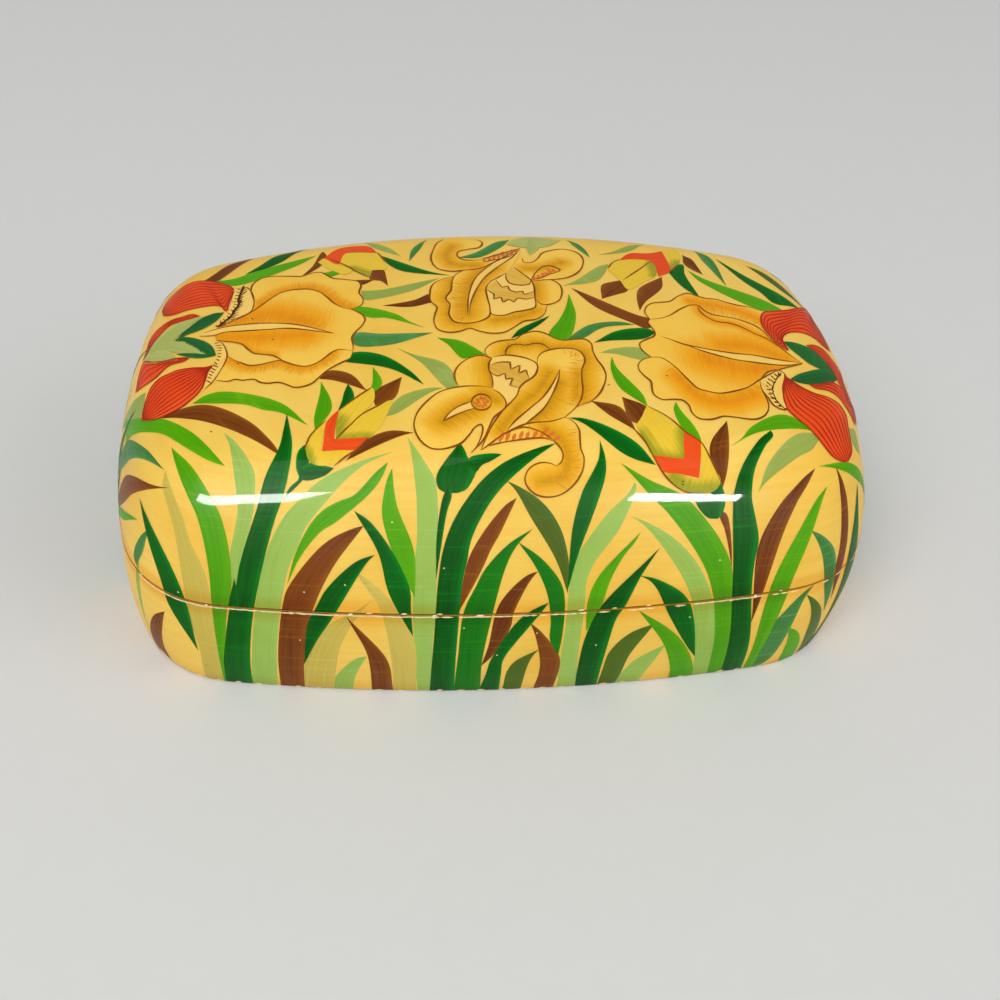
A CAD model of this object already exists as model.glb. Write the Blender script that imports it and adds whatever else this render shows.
"""Lidded papier mache box, painted with irises and grass blades under a clear gloss lacquer."""

import math
import random

import bmesh
import bpy
import numpy as np
from mathutils import Matrix, Vector
from mathutils.bvhtree import BVHTree
from mathutils.geometry import delaunay_2d_cdt
from mathutils.interpolate import poly_3d_calc


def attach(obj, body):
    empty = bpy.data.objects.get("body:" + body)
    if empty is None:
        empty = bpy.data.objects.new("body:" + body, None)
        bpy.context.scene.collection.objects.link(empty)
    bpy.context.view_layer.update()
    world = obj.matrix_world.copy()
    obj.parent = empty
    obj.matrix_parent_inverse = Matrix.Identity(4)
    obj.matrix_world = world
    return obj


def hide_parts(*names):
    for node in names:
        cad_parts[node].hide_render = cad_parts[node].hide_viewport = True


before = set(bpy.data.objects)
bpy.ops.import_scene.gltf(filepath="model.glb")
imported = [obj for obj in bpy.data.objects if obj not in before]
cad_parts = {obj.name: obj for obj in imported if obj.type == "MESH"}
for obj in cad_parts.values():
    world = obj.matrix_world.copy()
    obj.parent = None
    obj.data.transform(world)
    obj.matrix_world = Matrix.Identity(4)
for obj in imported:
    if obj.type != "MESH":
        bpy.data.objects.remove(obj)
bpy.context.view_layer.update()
MM = 0.001


# ---------------------------------------------------------------------------------------------
# The camera stands in front of the box and looks down on it, as in the photograph. The painting
# is placed by what this camera sees, so it is made first.
# ---------------------------------------------------------------------------------------------
PHOTO_SIDE = 1000
FOCAL_LENGTH_PIXELS = 1266.3
SENSOR_MM = 36.0
CAMERA_SHIFT = 0.1
OPTICAL_CENTRE = (PHOTO_SIDE * (0.5 - CAMERA_SHIFT), PHOTO_SIDE * (0.5 + CAMERA_SHIFT))
CAMERA_ELEVATION = math.radians(47.65)
CAMERA_TURN = math.radians(-3.45)
CAMERA_ROLL = math.radians(1.0)
AIM_POINT = Vector((-16.79, -35.88, 20.0)) * MM
AIM_DISTANCE = 201.3 * MM

towards_camera = Vector(
    (
        math.sin(CAMERA_TURN) * math.cos(CAMERA_ELEVATION),
        -math.cos(CAMERA_TURN) * math.cos(CAMERA_ELEVATION),
        math.sin(CAMERA_ELEVATION),
    )
)
camera_spot = AIM_POINT + AIM_DISTANCE * towards_camera
level_right = (-towards_camera).cross(Vector((0, 0, 1))).normalized()
level_up = level_right.cross(-towards_camera)
camera_right = math.cos(CAMERA_ROLL) * level_right + math.sin(CAMERA_ROLL) * level_up
camera_up = -math.sin(CAMERA_ROLL) * level_right + math.cos(CAMERA_ROLL) * level_up

camera_data = bpy.data.cameras.new("camera")
camera_data.sensor_width = SENSOR_MM
camera_data.lens = SENSOR_MM * FOCAL_LENGTH_PIXELS / PHOTO_SIDE
camera_data.shift_x = CAMERA_SHIFT
camera_data.shift_y = CAMERA_SHIFT
camera_data.clip_start = 0.01
camera = bpy.data.objects.new("camera", camera_data)
turn = Matrix((camera_right, camera_up, towards_camera)).transposed().to_4x4()
camera.matrix_world = Matrix.Translation(camera_spot) @ turn
bpy.context.collection.objects.link(camera)
bpy.context.scene.camera = camera


def photo_ray(x, y):
    """Direction in which the camera sees a pixel of the photograph."""
    right = (x - OPTICAL_CENTRE[0]) / FOCAL_LENGTH_PIXELS
    down = (y - OPTICAL_CENTRE[1]) / FOCAL_LENGTH_PIXELS
    return (right * camera_right - down * camera_up - towards_camera).normalized()


# ---------------------------------------------------------------------------------------------
# The form of the closed box, on which the coats and the painting lie: a bowed wall round a plan
# of eight arcs, a rolled shoulder, and a crown that is domed along and across.
# ---------------------------------------------------------------------------------------------
LENGTH, WIDTH, HEIGHT = 130.0, 81.0, 48.5
LONG_SIDE_RADIUS, SHORT_SIDE_RADIUS, CORNER_RADIUS = 300.0, 92.0, 20.0
WIDEST_HEIGHT = 12.8
WALL_LEAN_AT_TOP = 12.3
WALL_BOW_RADIUS = ((HEIGHT - WIDEST_HEIGHT) ** 2 + WALL_LEAN_AT_TOP**2) / (2 * WALL_LEAN_AT_TOP)
CROWN_LENGTH_RADIUS, CROWN_WIDTH_RADIUS = 262.0, 180.0
SHOULDER_RADIUS = 12.0
SEAM_HEIGHT = 20.4

long_centre = np.array((0.0, WIDTH / 2 - LONG_SIDE_RADIUS))
short_centre = np.array((LENGTH / 2 - SHORT_SIDE_RADIUS, 0.0))
reach_long = LONG_SIDE_RADIUS - CORNER_RADIUS
reach_short = SHORT_SIDE_RADIUS - CORNER_RADIUS
between = short_centre - long_centre
span = np.hypot(*between)
along = (reach_long**2 - reach_short**2 + span**2) / (2 * span)
aside = math.sqrt(reach_long**2 - along**2)
corner_centre = long_centre + (between * along + np.array((between[1], -between[0])) * aside) / span
LONG_ARC = math.pi / 2 - math.atan2(*(corner_centre - long_centre)[::-1])
SHORT_ARC = math.atan2(*(corner_centre - short_centre)[::-1])
CORNER_ARC = math.pi / 2 - LONG_ARC - SHORT_ARC
LONG_RUN = LONG_SIDE_RADIUS * LONG_ARC
CORNER_RUN = CORNER_RADIUS * CORNER_ARC
QUARTER_RUN = LONG_RUN + CORNER_RUN + SHORT_SIDE_RADIUS * SHORT_ARC
ROUND_RUN = 4 * QUARTER_RUN


def plan_outline(distance):
    """Points and outward normals of the widest outline, by distance from the front's middle."""
    distance = np.asarray(distance, float) % ROUND_RUN
    quarter = np.minimum(distance // QUARTER_RUN, 3).astype(int)
    run = distance - quarter * QUARTER_RUN
    run = np.where(quarter % 2 == 0, run, QUARTER_RUN - run)
    on_long = run < LONG_RUN
    on_corner = (run >= LONG_RUN) & (run < LONG_RUN + CORNER_RUN)
    angle = np.where(
        on_long,
        math.pi / 2 - run / LONG_SIDE_RADIUS,
        np.where(
            on_corner,
            math.pi / 2 - LONG_ARC - (run - LONG_RUN) / CORNER_RADIUS,
            (QUARTER_RUN - run) / SHORT_SIDE_RADIUS,
        ),
    )
    radius = np.where(on_long, LONG_SIDE_RADIUS, np.where(on_corner, CORNER_RADIUS, SHORT_SIDE_RADIUS))
    centre = np.where(
        on_long[:, None], long_centre, np.where(on_corner[:, None], corner_centre, short_centre)
    )
    normal = np.stack((np.cos(angle), np.sin(angle)), 1)
    side = np.stack((np.where(quarter < 2, 1, -1), np.where((quarter == 1) | (quarter == 2), 1, -1)), 1)
    return (centre + radius[:, None] * normal) * side, normal * side


def crown_height(x, y, inset=0.0):
    """Height of the crown over a point of the plan, moved inwards by inset."""
    across = np.sqrt((CROWN_WIDTH_RADIUS - inset) ** 2 - y**2)
    return HEIGHT - CROWN_LENGTH_RADIUS + np.sqrt(
        (CROWN_LENGTH_RADIUS - CROWN_WIDTH_RADIUS + across) ** 2 - x**2
    )


def crown_normal(x, y, inset=0.0):
    """Outward normal of the crown over a point of the plan."""
    across = np.sqrt((CROWN_WIDTH_RADIUS - inset) ** 2 - y**2)
    swing = CROWN_LENGTH_RADIUS - CROWN_WIDTH_RADIUS + across
    rise = np.sqrt(swing**2 - x**2)
    slant = across / (CROWN_WIDTH_RADIUS - inset)
    return np.stack((x / swing * slant, y / (CROWN_WIDTH_RADIUS - inset), rise / swing * slant), 1)


def wall_inset(height, depth=0.0):
    """How far the wall stands inside the widest outline at a height."""
    return WALL_BOW_RADIUS - np.sqrt((WALL_BOW_RADIUS - depth) ** 2 - (height - WIDEST_HEIGHT) ** 2)


def form_rows(distance, foot, wall_rows, shoulder_rows, crown_rows):
    """Rows of points and normals up the form, from a height on the wall to near the crown's middle."""
    rim, out = plan_outline(distance)
    level = np.full(len(rim), HEIGHT - 8.0)
    for _ in range(40):
        ball = rim - out * wall_inset(level, SHOULDER_RADIUS)[:, None]
        level = (level + crown_height(ball[:, 0], ball[:, 1], SHOULDER_RADIUS)) / 2
    sine = (level - WIDEST_HEIGHT) / (WALL_BOW_RADIUS - SHOULDER_RADIUS)
    wall_normal = np.c_[out * np.sqrt(1 - sine**2)[:, None], sine]
    top_normal = crown_normal(ball[:, 0], ball[:, 1], SHOULDER_RADIUS)
    wall_top = level + SHOULDER_RADIUS * sine
    points, normals = [], []
    for share in np.linspace(0, 1, wall_rows):
        height = foot + (wall_top - foot) * share
        lean = (height - WIDEST_HEIGHT) / WALL_BOW_RADIUS
        points.append(np.c_[rim - out * wall_inset(height)[:, None], height])
        normals.append(np.c_[out * np.sqrt(1 - lean**2)[:, None], lean])
    if crown_rows:
        opening = np.arccos((wall_normal * top_normal).sum(1))[:, None]
        for share in np.linspace(0, 1, shoulder_rows)[1:]:
            normal = np.sin((1 - share) * opening) * wall_normal + np.sin(share * opening) * top_normal
            normal /= np.sin(opening)
            points.append(np.c_[ball, level] + SHOULDER_RADIUS * normal)
            normals.append(normal)
        edge = points[-1][:, :2]
        for share in np.linspace(1, 0, crown_rows + 1)[1:-1]:
            x, y = (edge * share).T
            points.append(np.c_[x, y, crown_height(x, y)])
            normals.append(crown_normal(x, y))
    return np.array(points), np.array(normals)


# ---------------------------------------------------------------------------------------------
# Ground coat of the lid and of the base: chalk and glue rubbed smooth, painted warm yellow, under
# clear lacquer. Each is one closed skin that stops short of the saw cut at the seam.
# ---------------------------------------------------------------------------------------------
COAT_THICKNESS = 0.30
GROUND_SINK = 0.17
LID_COAT_FOOT = SEAM_HEIGHT + 0.15
BASE_COAT_TOP = SEAM_HEIGHT - 0.15
BASE_COAT_FOOT = 0.30
SKIN_STEP = 1.0


def coat_mesh(name, points, normals, domed):
    """Closed shell between a row grid sunk a little into the form and a copy further in."""
    rows, columns = points.shape[:2]
    outer = points - GROUND_SINK * normals
    inner = outer - COAT_THICKNESS * normals
    verts = [outer.reshape(-1, 3), inner.reshape(-1, 3)]
    count = rows * columns
    faces = []
    for row in range(rows - 1):
        for column in range(columns):
            a = row * columns + column
            b = row * columns + (column + 1) % columns
            faces.append((a, b, b + columns, a + columns))
            faces.append((a + count, a + columns + count, b + columns + count, b + count))
    ends = [0] if domed else [0, rows - 1]
    for row in ends:
        for column in range(columns):
            a = row * columns + column
            b = row * columns + (column + 1) % columns
            rim_face = (a, a + count, b + count, b)
            faces.append(rim_face if row == 0 else rim_face[::-1])
    if domed:
        crown = np.array((0.0, 0.0, HEIGHT - GROUND_SINK))
        verts.append(np.array((crown, crown - (0, 0, COAT_THICKNESS))))
        for column in range(columns):
            a = (rows - 1) * columns + column
            b = (rows - 1) * columns + (column + 1) % columns
            faces.append((a, b, 2 * count))
            faces.append((b + count, a + count, 2 * count + 1))
    mesh = bpy.data.meshes.new(name)
    mesh.from_pydata((np.concatenate(verts) * MM).tolist(), [], faces)
    mesh.polygons.foreach_set("use_smooth", [True] * len(faces))
    mesh.set_sharp_from_angle(angle=math.radians(50))
    mesh.update()
    return mesh


def srgb(red, green, blue):
    """A colour written as it looks on a screen, 0 to 255, for a shader's colour socket."""
    scale = [value / 255 for value in (red, green, blue)]
    light = [v / 12.92 if v <= 0.04045 else ((v + 0.055) / 1.055) ** 2.4 for v in scale]
    return (*light, 1.0)


class Flow:
    """A shader value; arithmetic on it adds Math nodes to its material."""

    def __init__(self, tree, socket):
        self.tree = tree
        self.socket = socket

    def _math(self, operation, *values):
        return Flow(self.tree, add_node(self.tree, "ShaderNodeMath", {"operation": operation}, values))

    def __add__(self, other):
        return self._math("ADD", self, other)

    def __sub__(self, other):
        return self._math("SUBTRACT", self, other)

    def __mul__(self, other):
        return self._math("MULTIPLY", self, other)

    def __truediv__(self, other):
        return self._math("DIVIDE", self, other)

    def __rsub__(self, other):
        return self._math("SUBTRACT", other, self)

    __radd__ = __add__
    __rmul__ = __mul__


def add_node(tree, kind, settings, values, output=0):
    """Adds a node, sets its settings, feeds its inputs by place or by name, and gives an output."""
    node = tree.nodes.new(kind)
    for key, setting in settings.items():
        if key == "stops":
            ramp = node.color_ramp
            for place, colour in setting[1:-1]:
                ramp.elements.new(place).color = colour
            ramp.elements[0].position, ramp.elements[0].color = setting[0]
            ramp.elements[-1].position, ramp.elements[-1].color = setting[-1]
        else:
            setattr(node, key, setting)
    pairs = values.items() if isinstance(values, dict) else enumerate(values)
    for place, value in pairs:
        if isinstance(value, Flow):
            tree.links.new(value.socket, node.inputs[place])
        elif value is not None:
            node.inputs[place].default_value = value
    return node.outputs[output]


class Paint:
    """A material under construction, with the few kinds of node that the finishes use."""

    def __init__(self, name):
        self.material = bpy.data.materials.new(name)
        self.material.use_nodes = True
        self.tree = self.material.node_tree
        self.shader = self.tree.nodes["Principled BSDF"]
        self.place = self.flow("ShaderNodeTexCoord", {}, {}, 3)

    def flow(self, kind, settings, values, output=0):
        return Flow(self.tree, add_node(self.tree, kind, settings, values, output))

    def part(self, vector, axis):
        """One axis of a vector as a value."""
        return self.flow("ShaderNodeSeparateXYZ", {}, (vector,), axis)

    def stretched(self, vector, scale):
        return self.flow("ShaderNodeMapping", {}, {"Vector": vector, "Scale": scale})

    def noise(self, vector, scale, detail=3.0, roughness=0.55):
        values = {"Vector": vector, "Scale": scale, "Detail": detail, "Roughness": roughness}
        return self.flow("ShaderNodeTexNoise", {}, values)

    def ramp(self, value, low, high):
        """0 below low, 1 above high, smooth between."""
        settings = {"interpolation_type": "SMOOTHSTEP"}
        values = {"Value": value, "From Min": low, "From Max": high}
        return self.flow("ShaderNodeMapRange", settings, values)

    def mix(self, share, first, second, how="MIX"):
        settings = {"data_type": "RGBA", "blend_type": how}
        values = {"Factor": share, 6: first, 7: second}
        return self.flow("ShaderNodeMix", settings, values, 2)

    def uv(self, name):
        return self.flow("ShaderNodeUVMap", {"uv_map": name}, {})

    def attribute(self, name):
        return self.flow("ShaderNodeAttribute", {"attribute_name": name}, {}, 2)

    def finish(self, colour, roughness, height, bump_depth, coat):
        """Feeds the shader: colour, roughness and bump vary, the lacquer is the same all over."""
        bump = self.flow(
            "ShaderNodeBump", {}, {"Height": height, "Distance": bump_depth, "Strength": 1.0}
        )
        links = self.tree.links
        links.new(colour.socket, self.shader.inputs["Base Color"])
        links.new(roughness.socket, self.shader.inputs["Roughness"])
        links.new(bump.socket, self.shader.inputs["Normal"])
        self.shader.inputs["Coat Weight"].default_value = coat
        self.shader.inputs["Coat Roughness"].default_value = 0.035
        self.shader.inputs["Coat IOR"].default_value = 1.36
        self.shader.inputs["Specular IOR Level"].default_value = 0.03
        return self.material


SEAM_STAIN = srgb(250, 224, 176)
FOOT_STAIN = srgb(240, 222, 180)
CUT_DIRT = srgb(36, 20, 10)
PERIOD = 1 / MM
LACQUER = 0.2


def aged(paint, colour):
    """Darkens a colour where varnish has pooled, by the seam and the foot, and where dirt sits in the cut."""
    height = paint.part(paint.place, 2)
    wander = paint.noise(paint.place, 0.12 * PERIOD, 2.0) * (1.4 * MM) - 0.7 * MM
    off_seam = paint.flow("ShaderNodeMath", {"operation": "ABSOLUTE"}, (height - SEAM_HEIGHT * MM,))
    by_seam = 1 - paint.ramp(off_seam + wander, 0.8 * MM, 3.4 * MM)
    by_foot = 1 - paint.ramp(height + wander, 0.3 * MM, 4.0 * MM)
    pooled = paint.mix(by_seam * 0.85, colour, SEAM_STAIN, "MULTIPLY")
    pooled = paint.mix(by_foot * 0.6, pooled, FOOT_STAIN, "MULTIPLY")
    in_cut = 1 - paint.ramp(off_seam, 0.16 * MM, 0.20 * MM)
    return paint.mix(in_cut * 0.9, pooled, CUT_DIRT)


def lacquer_height(paint):
    """Relief of the rubbed ground under lacquer: level brush marks round the wall, low ripples."""
    marks = paint.noise(paint.stretched(paint.place, (0.06, 0.06, 1.6)), 1.0 * PERIOD, 2.0)
    ripples = paint.noise(paint.place, 0.10 * PERIOD, 2.0)
    return marks * 0.6 + ripples * 0.9


ground = Paint("painted_ground_yellow")
tone = ground.noise(ground.place, 0.035 * PERIOD, 3.0)
marks = ground.noise(ground.stretched(ground.place, (0.05, 0.05, 1.2)), 1.0 * PERIOD, 3.0)
mottle = ground.noise(ground.place, 0.5 * PERIOD, 4.0, 0.7)
yellow = ground.mix(ground.ramp(tone, 0.35, 0.7), srgb(250, 211, 102), srgb(243, 194, 76))
yellow = ground.mix(ground.ramp(marks, 0.35, 0.75) * 0.35, yellow, srgb(238, 182, 62))
yellow = ground.mix(ground.ramp(mottle, 0.62, 0.75) * 0.25, yellow, srgb(255, 225, 140))
ground_material = ground.finish(
    aged(ground, yellow), 0.30 + 0.12 * mottle, lacquer_height(ground), 0.05 * MM, LACQUER
)

columns = int(ROUND_RUN / SKIN_STEP)
stations = np.arange(columns) * ROUND_RUN / columns
lid_grid = form_rows(stations, LID_COAT_FOOT, 22, 22, 44)
lid_ground = bpy.data.objects.new("lid_ground", coat_mesh("lid_ground", *lid_grid, True))
low_share = np.linspace(0, 1, 22)
rim, out = plan_outline(stations)
heights = BASE_COAT_FOOT + (BASE_COAT_TOP - BASE_COAT_FOOT) * low_share
lean = (heights - WIDEST_HEIGHT) / WALL_BOW_RADIUS
base_points = np.array([np.c_[rim - out * wall_inset(z), np.full(columns, z)] for z in heights])
base_normals = np.array([np.c_[out * math.sqrt(1 - s * s), np.full(columns, s)] for s in lean])
base_ground = bpy.data.objects.new(
    "base_ground", coat_mesh("base_ground", base_points, base_normals, False)
)
for coat, body, node in ((lid_ground, "lid", "lid_ground_coat"), (base_ground, "base", "base_ground_coat")):
    bpy.context.collection.objects.link(coat)
    coat.data.materials.append(ground_material)
    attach(coat, body)
    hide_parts(node)


# ---------------------------------------------------------------------------------------------
# Pulp shells and inner collar: they keep their own solids. Inside they are painted black-brown
# by hand, rough enough to show the paper's lumps.
# ---------------------------------------------------------------------------------------------
inside = Paint("pulp_painted_dark")
lumps = inside.noise(inside.place, 0.25 * PERIOD, 4.0, 0.6)
scuff = inside.noise(inside.place, 1.4 * PERIOD, 3.0, 0.6)
dark = inside.mix(inside.ramp(lumps, 0.35, 0.7), srgb(26, 20, 17), srgb(44, 34, 28))
dark = inside.mix(inside.ramp(scuff, 0.62, 0.72) * 0.4, dark, srgb(84, 66, 50))
inside_material = inside.finish(dark, 0.45 + 0.2 * scuff, lumps + 0.2 * scuff, 0.25 * MM, 0.2)

for node_name in ("lid_core", "base_core", "collar"):
    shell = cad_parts[node_name]
    shell.data.materials.clear()
    shell.data.materials.append(inside_material)


# ---------------------------------------------------------------------------------------------
# Laying the painting: every painted shape is drawn as the camera sees it, laid on the form, cut at
# the seam and made a thin film. A flat chart of the form, unrolled from the crown's edge, is used.
# ---------------------------------------------------------------------------------------------
CHART_STEP = 0.5
WALL_ROWS, SHOULDER_ROWS, CROWN_ROWS = 60, 36, 50
CHART_REACH = 112.0

chart_columns = int(ROUND_RUN / CHART_STEP)
chart_run = np.arange(chart_columns) * ROUND_RUN / chart_columns
form_points, form_normals = form_rows(chart_run, 0.0, WALL_ROWS, SHOULDER_ROWS, CROWN_ROWS)
edge_row = WALL_ROWS + SHOULDER_ROWS - 2
row_steps = np.linalg.norm(np.diff(form_points, axis=0), axis=2)
climb = np.concatenate((np.zeros((1, chart_columns)), np.cumsum(row_steps, 0)))
form_chart = form_points[:, :, :2].copy()
outward = plan_outline(chart_run)[1]
below_edge = (climb[edge_row] - climb[: edge_row + 1])[:, :, None]
form_chart[: edge_row + 1] = form_points[edge_row, :, :2] + outward * below_edge

row_count = len(form_points)
corner_ids = np.arange(row_count * chart_columns).reshape(row_count, chart_columns)
next_ids = np.roll(corner_ids, -1, 1)
quads = np.stack((corner_ids[:-1], next_ids[:-1], next_ids[1:], corner_ids[1:]), 2).reshape(-1, 4)
middle_id = row_count * chart_columns
fan = [[int(a), int(b), middle_id] for a, b in zip(corner_ids[-1], next_ids[-1])]
form_faces = quads.tolist() + fan
middle = np.array([[0.0, 0.0, HEIGHT]])
skin_points = np.concatenate((form_points.reshape(-1, 3), middle))
skin_normals = np.concatenate((form_normals.reshape(-1, 3), [[0, 0, 1]]))
skin_chart = np.concatenate((form_chart.reshape(-1, 2), [[0, 0]]))
skin_corners = [Vector(p) for p in skin_points]
chart_corners = [Vector((x, y, 0)) for x, y in skin_chart]
skin_tree = BVHTree.FromPolygons(skin_corners, form_faces)
chart_tree = BVHTree.FromPolygons(chart_corners, form_faces)
camera_mm = camera_spot / MM


def blend_at(tree, corners, spot, *fields):
    """Values of the fields at the place of a tree's surface that is nearest to a spot."""
    place, _, index, _ = tree.find_nearest(spot)
    ids = form_faces[index]
    shares = np.array(poly_3d_calc([corners[i] for i in ids], place))
    return [shares @ field[ids] for field in fields]


def seen(x, y):
    """Chart place that the camera sees at a pixel, or the nearest one just past the box's edge."""
    ray = photo_ray(x, y)
    spot = skin_tree.ray_cast(camera_mm, ray)[0]
    reach = AIM_DISTANCE / MM
    for _ in range(0 if spot else 30):
        spot = skin_tree.find_nearest(camera_mm + ray * reach)[0]
        reach = (spot - camera_mm).dot(ray)
    return blend_at(skin_tree, skin_corners, spot or camera_mm, skin_chart)[0]


def on_wall(round_run, height_run):
    """Chart place at a distance round the box from the front's middle and up from the foot."""
    column = (round_run % ROUND_RUN) / ROUND_RUN * chart_columns
    first = int(column) % chart_columns
    sides = [
        np.array([np.interp(height_run, climb[:, k], form_chart[:, k, axis]) for axis in (0, 1)])
        for k in (first, (first + 1) % chart_columns)
    ]
    return sides[0] + (sides[1] - sides[0]) * (column - int(column))


def smooth_line(points, step=0.6):
    """Even curve through points on the chart; a point given twice running is a sharp corner."""
    runs, run = [], [points[0]]
    for point in points[1:]:
        if np.allclose(point, run[-1]):
            runs.append(run)
            run = [point]
        else:
            run.append(point)
    runs.append(run)
    line = []
    for run in runs:
        run = np.array(run)
        if len(run) < 2:
            continue
        ends = np.concatenate(([2 * run[0] - run[1]], run, [2 * run[-1] - run[-2]]))
        gaps = np.maximum(np.linalg.norm(np.diff(ends, axis=0), axis=1), 1e-6) ** 0.5
        for k in range(1, len(ends) - 2):
            before, here, there, after = ends[k - 1 : k + 3]
            g0, g1, g2 = gaps[k - 1 : k + 2]
            leave = (here - before) / g0 - (there - before) / (g0 + g1) + (there - here) / g1
            arrive = (there - here) / g1 - (after - here) / (g1 + g2) + (after - there) / g2
            count = max(2, math.ceil(np.linalg.norm(there - here) / step))
            t = (np.arange(count) / count)[:, None]
            line.extend(
                (2 * t**3 - 3 * t**2 + 1) * here
                + (t**3 - 2 * t**2 + t) * g1 * leave
                + (-2 * t**3 + 3 * t**2) * there
                + (t**3 - t**2) * g1 * arrive
            )
        line.append(run[-1])
    return np.array(line)


def even(line, count):
    """The same line with a set count of evenly spaced points."""
    gone = np.concatenate(([0], np.cumsum(np.linalg.norm(np.diff(line, axis=0), axis=1))))
    marks = np.linspace(0, gone[-1], count)
    return np.stack([np.interp(marks, gone, line[:, axis]) for axis in (0, 1)], 1)


ROOT_RUN = 12.0


def blade(left, right, rooted=False, spots=seen, past=0.0):
    """A stroke between two edges that start together at its tip; a rooted one runs on to the foot.

    One that goes past the box's edge, out of the camera's sight, narrows to a point there.
    """
    sides = [[spots(*spot) for spot in side] for side in (left, right)]
    if rooted:
        for places in sides:
            heading = places[-1] - places[-2]
            places.append(places[-1] + heading / np.linalg.norm(heading) * ROOT_RUN)
    if past:
        last = (sides[0][-1] + sides[1][-1]) / 2
        heading = last - (sides[0][-2] + sides[1][-2]) / 2
        for places in sides:
            places.append(last + heading / np.linalg.norm(heading) * past)
    lines = [smooth_line(places) for places in sides]
    count = max(len(line) for line in lines)
    first, second = (even(line, count) for line in lines)
    return {"outline": np.concatenate((first, second[::-1])), "spine": (first + second) / 2,
            "half_width": np.linalg.norm(second - first, axis=1) / 2}


OUT_OF_SIGHT_RUN = 14.0


def leaves(table):
    """Strokes of a table; a name that starts with "round" marks one that runs on out of sight."""
    return [
        blade(*edges, past=OUT_OF_SIGHT_RUN if name.startswith("round") else 0)
        for name, edges in table.items()
    ]


def patch(outline, spine, *shades):
    """A filled outline, with the line its brush marks follow and its shaded lines with their reach."""
    line = smooth_line([seen(*spot) for spot in outline + outline[:1]])
    middle_line = smooth_line([seen(*spot) for spot in spine])
    across = np.linalg.norm(line[:, None] - middle_line[None], axis=2).min(1).max()
    return {"outline": line, "spine": middle_line, "half_width": np.full(len(middle_line), across),
            "shades": [(smooth_line([seen(*spot) for spot in marks]), reach) for marks, reach in shades]}


def inside_outline(points, outline):
    """Which points lie inside a closed outline."""
    x, y = points.T
    within = np.zeros(len(points), bool)
    for (ax, ay), (bx, by) in zip(outline, np.roll(outline, -1, 0)):
        crosses = (ay > y) != (by > y)
        if crosses.any():
            within[crosses] ^= x[crosses] < (bx - ax) * (y[crosses] - ay) / (by - ay) + ax
    return within


FILL_STEP = 0.8
FILM_STEP = 0.011
fill_x, fill_y = np.meshgrid(
    np.arange(-CHART_REACH, CHART_REACH, FILL_STEP), np.arange(-CHART_REACH, CHART_REACH, FILL_STEP * 0.866)
)
fill_x[::2] += FILL_STEP / 2
fill_points = np.stack((fill_x.ravel(), fill_y.ravel()), 1)
SPLIT_HEIGHTS = (LID_COAT_FOOT, BASE_COAT_TOP, BASE_COAT_FOOT)
split_loops = []
for height in SPLIT_HEIGHTS:
    share = [
        np.interp(height, form_points[:WALL_ROWS, k, 2], climb[:WALL_ROWS, k])
        for k in range(chart_columns)
    ]
    split_loops.append(np.array([on_wall(run, rise) for run, rise in zip(chart_run, share)])[::2])


def stroke_marks(spots, shape):
    """Along and across a shape's spine in mm, the share of its half width, and its shading."""
    spine = shape["spine"]
    heading = np.gradient(spine, axis=0)
    heading /= np.maximum(np.linalg.norm(heading, axis=1), 1e-9)[:, None]
    gone = np.concatenate(([0], np.cumsum(np.linalg.norm(np.diff(spine, axis=0), axis=1))))
    nearest = np.linalg.norm(spots[:, None] - spine[None], axis=2).argmin(1)
    off = spots - spine[nearest]
    ahead = (off * heading[nearest]).sum(1)
    across = off[:, 1] * heading[nearest, 0] - off[:, 0] * heading[nearest, 1]
    shade = np.zeros(len(spots))
    for line, reach in shape.get("shades", []):
        near = np.linalg.norm(spots[:, None] - line[None], axis=2).min(1)
        shade = np.maximum(shade, 1 - near / reach)
    share = across / np.maximum(shape["half_width"][nearest], 0.1)
    return gone[nearest] + ahead, across, np.clip(share, -1, 1), np.clip(shade, 0, 1)


def anticlockwise(loop):
    """The same closed loop, run anticlockwise."""
    x, y = loop.T
    return loop if (x * np.roll(y, -1) - y * np.roll(x, -1)).sum() > 0 else loop[::-1]


def cut_shapes(shapes):
    """Triangles of the chart inside the shapes, the topmost shape of each, and its body."""
    loops = split_loops + [anticlockwise(shape["outline"]) for shape in shapes]
    filling = np.zeros(len(fill_points), bool)
    for shape in shapes:
        low, high = shape["outline"].min(0), shape["outline"].max(0)
        near = np.flatnonzero(((fill_points > low) & (fill_points < high)).all(1) & ~filling)
        near = near[inside_outline(fill_points[near], shape["outline"])]
        gaps = np.linalg.norm(fill_points[near][:, None] - shape["outline"][None], axis=2)
        filling[near[gaps.min(1) > 0.3]] = True
    points = [Vector(spot) for loop in loops for spot in loop]
    points += [Vector(spot) for spot in fill_points[filling]]
    starts = np.cumsum([0] + [len(loop) for loop in loops])
    rings = [list(range(a, b)) for a, b in zip(starts[:-1], starts[1:])]
    cut, _, triangles, _, _, owners = delaunay_2d_cdt(points, [], rings, 1, 1e-5)
    kept, tops, bodies = [], [], []
    for triangle, owner in zip(triangles, owners):
        body = "lid" if 0 in owner else "base" if 2 in owner and 1 not in owner else None
        if body and max(owner) >= len(split_loops):
            kept.append(triangle)
            tops.append(max(owner) - len(split_loops))
            bodies.append(body)
    return np.array([tuple(spot) for spot in cut]), np.array(kept), np.array(tops), np.array(bodies)


STACK_STEP = 0.0006


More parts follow.
